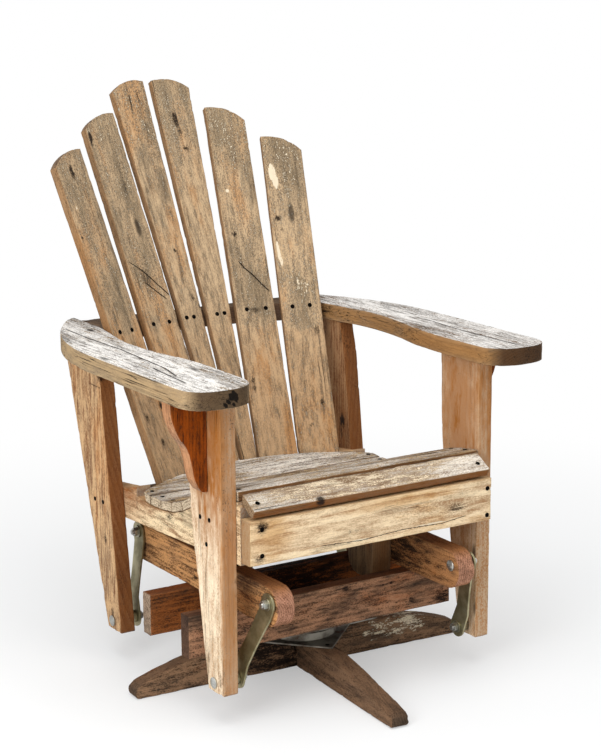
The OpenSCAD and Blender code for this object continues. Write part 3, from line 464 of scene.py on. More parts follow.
def foot_bar(node, reach, rise, angle, notch, seed, marks):
    """A bar's side view: level in the middle, then an arc down to the tip on each side, with
    the half-lap as a step in its upper or lower edge."""
    slope = bow((FOOT_LEVEL, FOOT_H), (reach - 2, FOOT_TIP), rise, 24)
    square = reach - 11
    lap = FOOT_W / 2 + 0.1
    at = stations(-square, square, 3.4, -FOOT_LEVEL, FOOT_LEVEL, -lap, lap, -lap - 0.4, lap + 0.4)
    top = np.interp(abs(at), np.concatenate([[0], slope[:, 0]]), np.concatenate([[FOOT_H], slope[:, 1]]))
    bottom = np.zeros(len(at))
    inside = abs(at) < lap + 0.2
    (top if notch == "top" else bottom)[inside] = FOOT_H / 2
    c, s = math.cos(math.radians(angle)), math.sin(math.radians(angle))

    def place(a, b, w):
        w = w - FOOT_W / 2
        return a * c - w * s, a * s + w * c, b

    tip = np.array([[-11, 0], [-4.5, 1.6], [-0.9, 6.5], [-0.5, 13], [-2.6, 19.5], [-11, top[-1]]])
    tip = smooth(tip + [reach, 0], 5)
    plank(node, "base", foot_wood, place, at, bottom, top, FOOT_W,
          start=tip * [-1, 1], end=tip, heart=(20, -18), arris=4.2, seed=seed, marks=marks)


# Near the middle of each bar a broad dark mark turns it almost black: mostly painted shade of the seat above
# the crossing, with some dirt.
foot_bar("foot_bar_side", 362, 10.5, SIDE_TURN, "top", 1, [
    "stain", (-70, 40, 110, 70, 0.75), "bare", (215, 44, 140, 42, 0.42, 18, 60)])
foot_bar("foot_bar_front", 378, 2.0, FRONT_TURN, "bottom", 2, [
    "warm", (-240, 28, 55, 16, 1.0),
    "stain", (-20, 50, 130, 70, 1.0), (-189, 17, 7, 6, 0.8), (-268, 6, 26, 2.5, 0.9)])

# Swivel: two pressed square plates with a ring of balls between them, closed by a rivet.
# Zinc-plated steel gone dull, and brown in the races.


def plated(name, bright, dull, rough, rust="5a3320", rusting=0.3):
    """Plated steel: the plating dulls in soft clouds, is scratched in fine lines, and rust
    comes up in specks where noise at two sizes is high together."""
    f = Finish(name)
    where = f.node("ShaderNodeTexCoord", {}, {}, OBJECT_OUTPUT)
    cloud = f.noise(where, (30, 30, 30), 4.0, 0.6)
    fine = f.noise(where, (420, 420, 420), 3.0, 0.6)
    scratch = f.noise(where, (60, 900, 260), 2.0, 0.6)
    rusty = (cloud + (fine - 0.5) * 0.5).rise(0.78 - 0.25 * rusting, 0.86 - 0.2 * rusting)
    colour = f.mix(cloud.rise(0.35, 0.65), paint(bright), paint(dull))
    colour = f.mix(scratch.rise(0.55, 0.75) * 0.3, colour, paint(bright))
    colour = f.mix(rusty, colour, paint(rust))
    gloss = rough + cloud * 0.22 + rusty * 0.3
    return f.done(colour, gloss, fine * 0.5 + scratch * 0.3 + rusty * 0.8, 0.00008, metal=1 - rusty * 0.7)


def dress(names, finish, bevel):
    """Keeps a turned or pressed part as it is, welds its mesh, breaks its sharp edges."""
    for name in names:
        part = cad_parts[name]
        part.modifiers.new("weld", "WELD").merge_threshold = 0.00001
        soft = part.modifiers.new("edges", "BEVEL")
        soft.width = bevel
        soft.segments = 2
        soft.limit_method = "ANGLE"
        soft.angle_limit = math.radians(40)
        soft.use_clamp_overlap = True
        for slot in part.material_slots:
            slot.material = finish


dress(["swivel_plate_lower", "swivel_plate_upper", "swivel_rivet"],
      plated("swivel steel", "8f8a80", "5d564d", rusting=0.7, rough=0.45), 0.0004)
dress(["bearing_balls"], plated("ball steel", "b9b9b4", "8f8b84", rusting=0.2, rough=0.25), 0.0001)

# Turning frame: two cross members under two rails with rounded noses, from reddish brown
# stained softwood that sits in the shade of the seat and has kept its colour.
frame_wood = wood(
    "frame wood", "d29c66 43220f 947660 b8662a 824626", ends="c8947a", edge="b58660", greying=0.35,
    warming=0.55, mould=0.6, cracks=0.4, rings=0.5, edging=0.3, glints=0.12, grit=1.2, streaks=0.9)
cross_wood = wood(
    "cross member wood", "ba8a69 2c1a12 806a58 98552a 7a4a30", ends="574438", edge="9c8068", warming=0.4,
    mould=0.95, cracks=0.2, edging=0.25, glints=0.12, grit=1.5, streaks=0.9)
rear_cross_wood = wood(
    "rear cross member wood", "96582c 2a1408 7a6048 9c4e14 7a4a30", ends="bea890", edge="9c8068",
    greying=0.3, warming=0.6, mould=0.8, cracks=0.2, edging=0.25, glints=0.1, grit=1.3, streaks=0.9)
block_wood = wood(
    "corner block wood", "9c8060 4e3826 7c6e5e 86522a 86592f", edge="a08e76", greying=0.55, warming=0.3,
    mould=0.35, cracks=0.2)
CROSS_LEFT, CROSS_RIGHT, CROSS_Y, CROSS_Z, CROSS_H, CROSS_T = -309.0, 279.0, (-111, 34), 104.0, 81.0, 30.0
RAIL_NOSE, RAIL_END, RAIL_Z, RAIL_H, RAIL_IN, RAIL_T = -270.0, 264.0, 185.0, 75.0, 180.0, 38.0
BLOCK_IN, BLOCK_FRONT, BLOCK_REAR, BLOCK_LOW, BLOCK_T = 135.0, -51.0, 34.0, 156.0, 45.0


def cross_member(node, y, seed, marks, finish):
    at = stations(CROSS_LEFT, CROSS_RIGHT, 3.6)
    plank(node, "turntable", finish, lambda a, b, w: (a, y + w, b),
          at, CROSS_Z, CROSS_Z + CROSS_H, CROSS_T, heart=(140, -30), arris=1.8, seed=seed,
          marks=marks)


cross_member("cross_member_front", CROSS_Y[0], 3, [
    "stain", (34, 173, 12, 8, 0.7), (188, 124, 9, 6, 0.8), (77, 177, 4, 3, 0.9), (119, 167, 3, 3, 0.9),
    (138, 168, 3, 3, 0.9), (150, 125, 4, 3, 0.8), (262, 118, 22, 18, 0.7)], cross_wood)
# Across the middle, between the rails, a broad dark mark turns the rear cross member almost black: painted
# shade under the seat.
cross_member("cross_member_rear", CROSS_Y[1], 4, ["stain", (0, 150, 170, 80, 1.0, 15, 45)], rear_cross_wood)


def frame_rail(node, s, seed, marks):
    """A rail from its rounded nose to its square rear end; the nose is half a circle. s is -1
    at the left and 1 at the right, here and below."""
    r = RAIL_H / 2
    at = stations(RAIL_NOSE + r, RAIL_END, 3.5)
    a = np.linspace(-math.pi / 2, -3 * math.pi / 2, 33)
    nose = np.stack([RAIL_NOSE + r * (1 + np.cos(a)), RAIL_Z + r * (1 + np.sin(a))], 1)
    plank(node, "turntable", frame_wood, lambda a, b, w: (s * (RAIL_IN + RAIL_T - w), a, b),
          at, RAIL_Z, RAIL_Z + RAIL_H, RAIL_T, start=nose, heart=(215, -25), seed=seed,
          marks=marks)


frame_rail("frame_rail_left", -1, 5, ["stain", (24, 201, 12, 8, 0.7), (-155, 237, 5, 4, 0.9)])
# On the right rail's inner face a broad dark mark is painted shade under the seat.
frame_rail("frame_rail_right", 1, 6, ["stain", (-40, 222, 190, 60, 0.62, 38, 14)])
for s, side, seed in ((-1, "left", 7), (1, "right", 8)):
    # An upright block; its lower rear corner is a quarter circle.
    at = stations(BLOCK_LOW, RAIL_Z + RAIL_H, 3.2)
    drop = np.clip(BLOCK_LOW + BLOCK_REAR - at, 0, BLOCK_REAR)
    plank("corner_block_" + side, "turntable", block_wood,
          lambda a, b, w: (s * (BLOCK_IN + w), b, a),
          at, BLOCK_FRONT, np.sqrt(BLOCK_REAR ** 2 - drop ** 2), BLOCK_T, heart=(-20, 70), arris=1.5,
          seed=seed)

# Swing links and their bolts: flat steel bars with round ends and a joggle, yellow-passivated
# zinc worn olive, on round-head bolts with washers and nuts of bright zinc.
dress(["front_link_left", "front_link_right", "rear_link_left", "rear_link_right"],
      plated("link steel", "b5ad8c", "8c8566", rust="6b4a26", rough=0.34), 0.0005)
dress(["upper_pivot_bolts", "lower_pivot_bolts", "upper_pivot_nuts", "lower_pivot_nuts"],
      plated("bolt zinc", "c9c9c4", "9b9a94", rusting=0.15, rough=0.25), 0.0004)
dress(["upper_pivot_washers", "lower_pivot_washers", "lower_pivot_spacers"],
      plated("washer zinc", "c2bca2", "8f8b78", rusting=0.25, rough=0.3), 0.0003)

# Legs: four tapered boards, honey-coloured where the seat shades them, orange-brown on their
# narrow front edges.
LEG_IN, LEG_OUT, LEG_T, LEG_H, REAR_FOOT = 265.0, 297.0, 32.0, 544.0, 391.25
leg_wood = wood(
    "front leg wood", "ffeacb ae7a4c d2bea0 a8682c 8a5a2e", edge="d8ac7c", greying=0.4, warming=0.42,
    mould=0.45, ring=0.007, rings=0.33, siding=0.55, grit=0.7, flank=1.5, glints=0.15)
rear_leg_wood = wood(
    "rear leg wood", "dcb588 6e4122 a8937a bf7c42 7c4c28", edge="b5804e", greying=0.4, warming=0.42,
    mould=0.45, ring=0.006, rings=0.5, streaks=0.7, siding=0.95, grit=0.8, flank=1.2, glints=0.12)


def leg(node, s, front, rear, seed, marks, heart, finish):
    """A leg, its front and rear edge given as points of height and place."""
    f, r = np.asarray(front, float), np.asarray(rear, float)
    at = stations(f[0, 0], f[-1, 0], 3.3, *f[:, 0])
    plank(node, "seat", finish, lambda a, b, w: (s * (LEG_OUT - w), b, a),
          at, np.interp(at, *f.T), np.interp(at, *r.T), LEG_T, heart=heart, seed=seed, marks=marks)


front_leg_rear = smooth([[0, 53], [181.3, 84], [362.7, 112.7], [LEG_H, 121]], 8)
front_marks = ["warm", (470, 10, 200, 90, 1.35), (450, 60, 230, 90, 1.1, 32, 20),
               "stain", (30, 12, 30, 16, 0.35),
               "grey", (120, 5, 90, 30, 0.5)]
for s, side, front_mark, rear_marks in (
        (-1, "left", ["warm", (200, -4, 260, 16, 1.1, 16, 26)],
         ["stain", (497, 457, 11, 9, 0.85), (182, 449, 20, 6, 0.6), (35, 425, 10, 8, 0.5)]),
        (1, "right", ["grey", (110, -4, 150, 16, 0.8, 16, 26)],
         ["stain", (337, 461, 17, 9, 0.85, 32, 12), (309, 463, 12, 5, 0.6, 32, 12)])):
    leg("front_leg_" + side, s, [(0, 0), (LEG_H, 0)], front_leg_rear, 9 + s, front_marks + front_mark,
        (60, 90), leg_wood)
    leg("rear_leg_" + side, s, [(0.14, REAR_FOOT), (478, REAR_FOOT + 62), (LEG_H, REAR_FOOT + 78)],
        [(0.14, REAR_FOOT + 53), (LEG_H, REAR_FOOT + 214)], 13 + s, rear_marks, (520, 80), rear_leg_wood)

# Seat: rails with a hollow upper edge, an apron across the front, a sloping front slat, eight
# mitred slats and a wide rear one cut round to the back.
PITCH, SLAT_T, SLAT_X, SLAT_GAP, DECK_START = 42.5, 19.0, 264.4, 0.8, (-4.0, 357.0)
SIDE_FRONT, SIDE_REAR, SIDE_LOW, SIDE_FALL, LEDGE_Y, STEP_Y = -12.0, 504.0, 242.0, 24.0, 374.0, 418.0
APRON_Y, APRON_LOW, APRON_TOP, APRON_HEART = -44.0, 248.0, 330.0, 282
FRONT_SLOPE, FRONT_Y, FRONT_Z, FRONT_W = math.radians(29.7), -6.0, 373.0, 48.0
RECLINE, BACK_Y, BACK_UP, BACK_R = math.radians(26.6), 428.0, 298.0, 571.0
rail_wood = wood(
    "seat rail wood", "fce2b8 87603e b8a98c 9c5418 b08050", edge="c09a6e", greying=0.4, warming=0.3,
    ring=0.006, streaks=0.9, grit=1.2)
deck_wood = wood(
    "seat slat wood", "d2b488 4a2e16 a89a84 ad7c40 6a4020", ends="fae6c6", edge="8a5f3c", cracks=0.75,
    bleach=0.8, streaks=1.0, grit=1.1, edging=0.4, siding=0.85)
front_wood = wood(
    "front slat wood", "e8d6b8 6b4a2a c0b096 c3955a 7c4c26", ends="b39c7e", edge="a87a4c", white="f2ece0",
    greying=0.4, cracks=0.6, bleach=0.8, streaks=0.8, grit=1.1, edging=0.4, siding=0.95)


def crack(seed, heart, points):
    """A broken line given in a board's millimetres, in the metres of its grain."""
    return [(SEED_STEP * seed + a * MM, (b - heart) * MM) for a, b in points]


apron_crack = crack(22, APRON_HEART, [(-115, 262), (-30, 258), (60, 263), (150, 260), (205, 266)])
apron_wood = wood(
    "apron wood", "f8e0ba 9c6e44 c9b595 d3a468 c9a06c", ends="a88c6c", edge="ecd2a0", greying=0.38,
    warming=0.4, mould=0.3, cracks=0.25, ring=0.011, rings=0.45, edging=0.5, grit=0.45, gape=0.5,
    lines=[apron_crack])


def slope_axes(angle):
    """The way up a slope and the way square off it, in Y and Z."""
    c, s = math.cos(angle), math.sin(angle)
    return np.array([c, s]), np.array([-s, c])


slopes = np.radians([-7, -12.5, -21, -26, -25, -17, -7, -1.4, 5])  # of the nine deck slats, front to rear
deck = np.cumsum([DECK_START] + [PITCH * slope_axes(slope)[0] for slope in slopes[:-1]], axis=0)


def hollow(x, z, radius):
    """Where the leaning hollow cylinder of the back stands at height z: its circle in plan,
    drawn out by the lean, moved back by the height times the lean's tangent."""
    near = np.sqrt(radius ** 2 - x ** 2) - BACK_R
    return BACK_Y + near / math.cos(RECLINE) + (z - BACK_UP) * math.tan(RECLINE)


def seat_rail(node, s, seed, marks):
    """The rail's upper edge follows the undersides of the slats, then drops to the rear leg."""
    first = FRONT_Z - SLAT_T / math.cos(FRONT_SLOPE)
    ledge = deck[-1] + (LEDGE_Y - deck[-1, 0]) * np.array([1, math.tan(slopes[-1])])
    fall = (FRONT_Y - SIDE_FRONT) * math.tan(FRONT_SLOPE)
    top = [(SIDE_FRONT, first - fall), (FRONT_Y, first), (DECK_START[0], first)]
    top += [(-3.7, DECK_START[1]), *deck[1:], ledge]
    top += [(ledge[0] + 0.3, ledge[1] + SLAT_T), (STEP_Y, ledge[1] + 7), (SIDE_REAR, ledge[1] - 4)]
    top = np.array(top)
    at = stations(SIDE_FRONT, SIDE_REAR, 3.5, *top[:, 0])
    low = SIDE_LOW - (at - SIDE_FRONT) * SIDE_FALL / (SIDE_REAR - SIDE_FRONT)
    plank(node, "seat", rail_wood, lambda a, b, w: (s * (LEG_IN - w), a, b),
          at, low, np.interp(at, *top.T), 32, heart=(280, 70), arris=1.6, seed=seed, marks=marks)


seat_rail("seat_rail_left", -1, 20, [
    "stain", (243, 268, 18, 14, 0.6), (204, 290, 26, 12, 0.5), "warm", (440, 290, 110, 60, 1.0)])
seat_rail("seat_rail_right", 1, 21, ["warm", (440, 290, 70, 60, 0.8)])
at = stations(-LEG_IN, LEG_IN, 3.5)
plank("apron", "seat", apron_wood, lambda a, b, w: (a, APRON_Y + w, b), at, APRON_LOW, APRON_TOP, 32,
      heart=(APRON_HEART, -40), arris=2.4, seed=22,
      marks=["stain", (-240, 316, 16, 16, 0.65), (-246, 262, 16, 12, 0.5), (186, 284, 26, 12, 0.5),
             "warm", (-222, 300, 45, 36, 1.0), (60, 318, 120, 12, 0.9),
             "bare", (-40, 259, 60, 3, 0.55), (110, 263, 70, 3, 0.5),
             "grey", (150, 290, 80, 24, 1.0)])


def seat_slat(node, origin, slope, x, top, under, seed, marks=(), finish=deck_wood):
    """A seat slat: its long edges run along X, its sides are cut to the mitre. top and under
    give the places of both edges up the slope, on the upper and the lower face."""
    e, up = slope_axes(slope)

    def place(a, b, w):
        return a, *(origin + b[:, None] * e + (SLAT_T - w)[:, None] * up).T

    plank(node, "seat", finish, place, stations(-x, x, 3.4), *top, SLAT_T,
          low_under=under[0], high_under=under[1], heart=(15 + 9 * (seed % 3), 55 + 5 * (seed % 4)),
          arris=2.6, seed=seed, marks=marks)


def mitre(i):
    """How far slat i's joint with the one before leans over its thickness."""
    return math.tan((slopes[i] - slopes[i - 1]) / 2) * SLAT_T if i else 0


front_way, front_up = slope_axes(FRONT_SLOPE)
seat_slat("front_slat", [FRONT_Y, FRONT_Z] - FRONT_W * front_way - SLAT_T * front_up, FRONT_SLOPE, 258,
          (0, FRONT_W), (0, FRONT_W - SLAT_T * math.tan(FRONT_SLOPE)), 23,
          ["stain", (-118, 1, 11, 8, 1.3, 7, 12)], front_wood)
for i in range(8):
    seat_slat("deck_slat_%d" % (i + 1), deck[i], slopes[i], SLAT_X,
              (SLAT_GAP + mitre(i), PITCH - SLAT_GAP - mitre(i + 1)), (SLAT_GAP, PITCH - SLAT_GAP), 24 + i)
rear_x = stations(-SLAT_X, SLAT_X, 3.4)


def rear_reach(up):
    """How far back the rear slat runs, at each place across, before it meets the back, 4 mm
    short of which it is cut."""
    s, c = math.sin(slopes[-1]), math.cos(slopes[-1])
    z = deck[-1, 1] + up * c
    return (hollow(rear_x, z, BACK_R - 4) - deck[-1, 0] + up * s) / (c - s * math.tan(RECLINE))


seat_slat("deck_slat_rear", deck[-1], slopes[-1], SLAT_X, (SLAT_GAP + mitre(8), rear_reach(SLAT_T)),
          (SLAT_GAP, rear_reach(0)), 32)

# Back: six slats that fan out from the seat, flat boards on a hollow curve, held by a rail at
# arm height and a cleat under the seat. The slats are flecked grey and bared in spots on top.
TAIL, ROW, CLEAT_ROW, CROWN, SLAT_W = 70.0, 304.0, -56.0, 11.0, 84.0
face_r = math.sqrt((BACK_R + SLAT_T) ** 2 - SLAT_W ** 2 / 4) - SLAT_T
hidden_wood = wood(
    "back rail wood", "7d6650 3f2e24 6b6158 7a4c30 4a3024", ends="7d7266", edge="7d6650", warming=0.3)


def back_wood(name, lines=()):
    return wood(name, "c3a784 3b2b1e 8b7960 bb8958 8f6238", bare="e6d6ba", ends="7a6858", edge="94704c",
                warming=0.45, rings=0.25, grit=1.85, calm=0.3, streaks=0.75, edging=0.45, glints=0.55,
                lines=lines, gape=1.5)


slat_wood = back_wood("back slat wood")


def spin(axis, angle):
    """Turn about an axis: 0 for X, 1 for Y, 2 for Z."""
    c, s = math.cos(angle), math.sin(angle)
    m = np.eye(3)
    i, j = (axis + 1) % 3, (axis + 2) % 3
    m[i, i], m[i, j], m[j, i], m[j, j] = c, -s, s, c
    return m


def on_back(x, fan):
    """Turn and shift that lay a slat on the hollow: leaned out in the fan, tipped forward so
    that it meets both rails, and turned to face the hollow's axis."""
    fan = math.radians(fan)
    far = lambda x: math.sqrt(face_r ** 2 - x ** 2) - BACK_R
    x0, x1 = x + CLEAT_ROW * math.tan(fan), x + ROW * math.tan(fan)
    tip = math.atan((far(x0) - far(x1)) / (ROW - CLEAT_ROW))
    turned = spin(1, fan) @ spin(0, tip) @ spin(2, -math.asin(x1 / face_r))
    recline = spin(0, -RECLINE)
    return recline @ turned, recline @ np.array([x, far(x), 0]) + [0, BACK_Y, BACK_UP]


# A ring of lichen: spots on a circle that is sometimes wider, sometimes narrower.
turns = [(2.4 * k, 5 * math.sin(7 * k)) for k in range(13)]
lichen = [(337 + (11 + more) * math.sin(a), 9 + (10 + more) * math.cos(a), 7, 4, 0.44) for a, more in turns]
slat_marks = {
    "left_outer": [
        "grey", (400, 0, 140, 60, 0.4), (529, 5, 70, 30, 0.8),
        "stain", (617, 1, 17, 6, 0.95), (481, 34, 5, 4, 0.8), (108, 22, 14, 8, 0.6), (127, -28, 9, 6, 0.7),
        (56, 2, 10, 7, 0.6),
        "bare", (543, 22, 8, 5, 0.5)],
    "left_middle": [
        "grey", (430, 0, 150, 60, 0.4), (600, -12, 75, 22, 1.0), (396, 6, 50, 34, 0.9),
        "stain", (694, 36, 16, 5, 0.9), (600, -12, 50, 8, 0.4), (396, 4, 26, 12, 0.45)],
    "left_inner": [
        "stain", (447, 10, 5, 4, 0.9), (786, 6, 18, 5, 0.6), (343, -4, 9, 5, 0.7), (325, -15, 8, 5, 0.7)],
    "right_inner": [
        "stain", (730, 17, 20, 6, 0.9), (663, 26, 9, 8, 0.8), (697, 22, 22, 6, 0.5),
        "grey", (785, 50, 40, 16, 1.0)],
    "right_middle": [
        "grey", (400, 0, 150, 60, 0.45), (656, 0, 60, 30, 1.0),
        "bare", (561, -20, 5, 5, 0.8),
        "stain", (466, -21, 7, 7, 0.95), (155, -29, 9, 6, 0.6), (138, -28, 7, 6, 0.55),
        (301, 0, 9, 12, 0.5), (374, 6, 22, 12, 0.3)],
    "right_outer": [
        "grey", (330, 0, 120, 60, 0.4),
        "bare", (584, -26, 26, 9, 0.75), (562, -22, 22, 8, 0.7), (412, -33, 28, 6, 0.7),
        (392, -29, 20, 5, 0.6), *lichen,
        "stain", (484, -26, 8, 6, 0.9), (458, -20, 6, 5, 0.8), (239, 26, 16, 8, 0.45), (42, -9, 6, 5, 0.7),
        (88, 18, 8, 5, 0.6),
        "grey", (335, 6, 34, 30, 0.8)],
}
slat_cracks = {
    "left_middle": [[(352, -40), (378, -18), (399, -1), (414, 14), (430, 34)],
                    [(345, -30), (366, -8), (384, 10)]],
    "right_middle": [[(340, 35), (360, 18), (378, 4), (392, -10), (406, -19)]]}
back_spots = []


def back_slat(name, s, x, fan, inner, outer, seed, row, across):
    """A slat from its two long edges, each given by its lower and upper end, and a round
    crown. x is its place across and fan its lean in degrees. row is the height of its two
    upper screws; across gives the places of those and of the two in the cleat."""
    turned, shift = on_back(x, fan)
    rows = int(round((inner[-1][1] - inner[0][1]) / 3.5))

    def place(a, b, w):
        return ((np.stack([b, w, a], 1) @ turned.T + shift) * [s, 1, 1]).T

    for u, v in zip(across, (row, row, CLEAT_ROW, CLEAT_ROW)):
        back_spots.append(((turned @ [u, 0, v] + shift) * [s, 1, 1], turned @ [0, -1, 0] * [s, 1, 1]))
    heart = 8 * math.sin(seed * 2.1)
    lines = [crack(seed, heart, line) for line in slat_cracks.get(name, ())]
    node = "back_slat_" + name
    marks = ["grey", (inner[-1][1] - 40, 0, 150, 70, 0.7), "warm", (70, 0, 220, 80, 0.45)] + slat_marks[name]
    plank(node, "seat", back_wood(node + " wood", lines) if lines else slat_wood, place, None,
          along(inner, rows)[:, ::-1], along(outer, rows)[:, ::-1], SLAT_T,
          end=bow(inner[-1], outer[-1], CROWN, 24)[:, ::-1], heart=(heart, 60 + 12 * math.sin(seed)),
          seed=seed, marks=marks)


# grow is how much the inner slats widen on their way up, less and extra how much the top of
# the left inner one is narrower and of the left outer one wider than at the right.
grow = 50 / 796
for s, side, fan, less, extra, rows in ((-1, "left_", 4.3, 6, 5, (ROW, 298, 285)),
                                        (1, "right_", 5.4, 0, 0, (ROW, ROW, 293))):
    back_slat(side + "inner", s, 20, 0.4, [(-16.5, -TAIL), (-16.5, 817)],
              [(17.5 - TAIL * grow, -TAIL), (67.5 - less, 796)], 40 + s, rows[0], (5, 22, -8, 2.5))
    back_slat(side + "middle", s, 84, fan, [(-42, -TAIL), (-42, 747)], [(42, -TAIL), (42, 715)], 43 + s,
              rows[1], (-19, 22, -24, 24))
    back_slat(side + "outer", s, 169, 7, [(-35, -TAIL), (-42, 0), (-42 - extra, 665)],
              [(42, -TAIL), (42, 629)], 46 + s, rows[2], (-18, 18, -24, 24))

for node, half, z, thick, rear, seed in (
        ("back_rail", 250, 578, 34, 621.7, 50), ("back_cleat", 233, 264, 32, 480, 51)):
    at = stations(-half, half, 3.5)
    plank(node, "seat", hidden_wood, lambda a, b, w: (a, b, z - w), at, hollow(at, z, BACK_R + SLAT_T), rear,
          thick, low_under=hollow(at, z - thick, BACK_R + SLAT_T), high_under=rear,
          heart=(560, 60), arris=1.8, seed=seed)

# Arms and brackets: wide boards with a round front, a waist and a long rear corner, bleached
# and flaking on top; a curved brace stands under each from the front leg.
ARM_IN, ARM_OUT, ARM_T, ARM_REAR, ARM_HEART = 250.0, 388.0, 34.0, 655.0, 320
CURVE_Y, CURVE_R, CURVE_RUN = 314.0, 520.0, 329.0  # of the outer edge: start, radius, length in Y
# The bracket's side colour, far paler than its faces, lights its curved outer edge: a painted highlight where
# that edge faces the light.
bracket_wood = wood(
    "bracket wood", "94480f 3a1806 74401f 9c4206 dca478", edge="9a5a30", greying=0.2, warming=0.6,
    cracks=0.2, siding=0.85, glints=0.05, streaks=0.8)


def arm(node, s, seed, bleach, colours, ends, marks, cracked):
    """An arm's inner edge is a smooth curve, its outer edge a straight run and an arc."""
    inner = smooth([[-10, 2], [28, 1], [81, 0], [141, 1], [197, 6], [262, 19], [332, 26], [403, 24],
                    [471, 12], [543, 0]], 8)
    inner = np.concatenate([inner, [[ARM_REAR, 0]]]) + [0, ARM_IN]
    a = np.linspace(0, math.asin(CURVE_RUN / CURVE_R), 30)
    arc = np.stack([CURVE_Y + CURVE_R * np.sin(a), ARM_OUT - CURVE_R * (1 - np.cos(a))], 1)
    outer = np.concatenate([[[-6, ARM_OUT]], arc, [[ARM_REAR, arc[-1, 1] - 16]]])
    wide = ARM_OUT - ARM_IN
    nose = smooth([[-10, 2], [-30, 6], [-46, 15], [-59, 31], [-66, 55], [-65, wide - 45], [-59, wide - 26],
                   [-47, wide - 11], [-29, wide - 2], [-6, wide]], 6) + [0, ARM_IN]
    finish = wood(node + " wood", colours, stain="0a0807", white="f8f6f2", ends=ends, edge="c8b294",
                  warming=0.4, cracks=0.8, bleach=bleach, rings=0.35, flank=0.35, grit=0.9, streaks=1.0,
                  gape=1.5, lines=[crack(seed, ARM_HEART, line) for line in cracked])
    rows = 181  # points on each long edge
    plank(node, "seat", finish, lambda a, b, w: (s * b, a, LEG_H + ARM_T - w), None, along(inner, rows),
          along(outer, rows), ARM_T, start=nose, across=3.0, heart=(ARM_HEART, 75), arris=1.7, seed=seed,
          marks=marks)


# The blotch on the left arm's front end, five stains side by side, and one stain behind.
blotch = ["stain", (-64, 309, 14, 5, 6, 12, 5), (-64, 303, 14, 3, 6, 17, 5), (-64, 316, 12, 3, 6, 20, 3),
          (-64, 324, 12, 3, 5, 26, 2), (-64, 308, 12, 2, 5, 26, 2), (522, 281, 18, 8, 0.7)]
arm("arm_left", -1, 60, 0.93, "b09878 3e2d20 9c9284 9c6836 c4a478", "402e20", blotch,
    [[(74, 340), (142, 325), (332, 315), (446, 319), (559, 314)], [(20, 352), (90, 348), (150, 343)]])
arm("arm_right", 1, 61, 0.92, "8c6844 3e2d20 9c9284 9c6836 ae8454", "2c140c",
    ["warm", (150, 250, 330, 12, 1.3, 22, 30), "stain", (560, 252, 90, 20, 0.6, 16, 26)],
    [[(-30, 322), (120, 318), (260, 326)]])
brace = smooth([[73, 0], [71, -31], [64, -53], [54, -74], [41, -92], [32.85, -117], [26.28, -149],
                [16.06, -170], [8, -175]], 6)
brace = along(brace[::-1], 56)  # the bracket's curved edge, from its foot up
for s, node, back, seed in ((-1, "bracket_left", 44, 62), (1, "bracket_right", 80, 63)):
    plank(node, "seat", bracket_wood, lambda a, b, w: (s * (LEG_OUT + b), back + w, LEG_H + a),
          brace[:, 1], 0, brace[:, 0], 32, heart=(-30, -50), arris=1.8, seed=seed)

# Wood screws: each a flat head with a cross recess, level with the wood, of rusted steel painted
# near black: painted shade of the deep holes the screws sit in, which the boards lack. One piece
# holds all the heads of a kind.
screw_steel_and_hole_shade = plated("screw steel and hole shade", "1c1815", "0f0d0b", rust="1c120b", rusting=0.6, rough=0.75)
AROUND = 24


def heads(node, body, spots):
    """Screw heads as low discs: each a net of circles, pressed in where the cross is cut.
    spots holds each screw's place and the way it points out of the wood."""
    ring = np.array([0.05, 0.5, 1.0, 1.5, 2.0, 2.6, 3.2, 3.8, 4.3, 4.4])
    drop = np.array([0, 0, 0, 0, 0, 0, 0.03, 0.08, 0.25, 2.4])
    angle = np.arange(AROUND) * math.tau / AROUND
    x, y = ring[:, None] * np.cos(angle), ring[:, None] * np.sin(angle)
    near, far = np.minimum(abs(x), abs(y)), np.maximum(abs(x), abs(y))
    cut = np.clip(1.6 - near / 0.35, 0, 1) * np.clip(2.6 - far, 0, 1)
    shape = np.stack([x, y, 0.3 - drop[:, None] - 0.25 * cut], -1).reshape(-1, 3)
    grid = np.arange(len(shape)).reshape(len(ring), AROUND)
    fan = range(1, AROUND - 2, 2)
    close = np.array([[grid[0, 0], grid[0, k], grid[0, k + 1], grid[0, k + 2]] for k in fan])
    floor = np.array([[grid[-1, 0], grid[-1, k + 2], grid[-1, k + 1], grid[-1, k]] for k in fan])
    one = np.concatenate([tube(grid), close, floor])
    points, quads = [], []
    for k, (p, out) in enumerate(spots):
        out = np.asarray(out, float) / np.linalg.norm(out)
        side = np.cross(out, [0.3, 0.5, 0.81])
        side /= np.linalg.norm(side)
        points.append(shape @ np.stack([side, np.cross(out, side), out]) + np.asarray(p, float) + 0.05 * out)
        quads.append(one + k * len(shape))
    surface("heads_" + node, body, screw_steel_and_hole_shade, node, np.concatenate(points),
            np.concatenate(quads), {})


def mirrored(spots):
    return spots + [((-p[0], p[1], p[2]), (-o[0], o[1], o[2])) for p, o in spots]


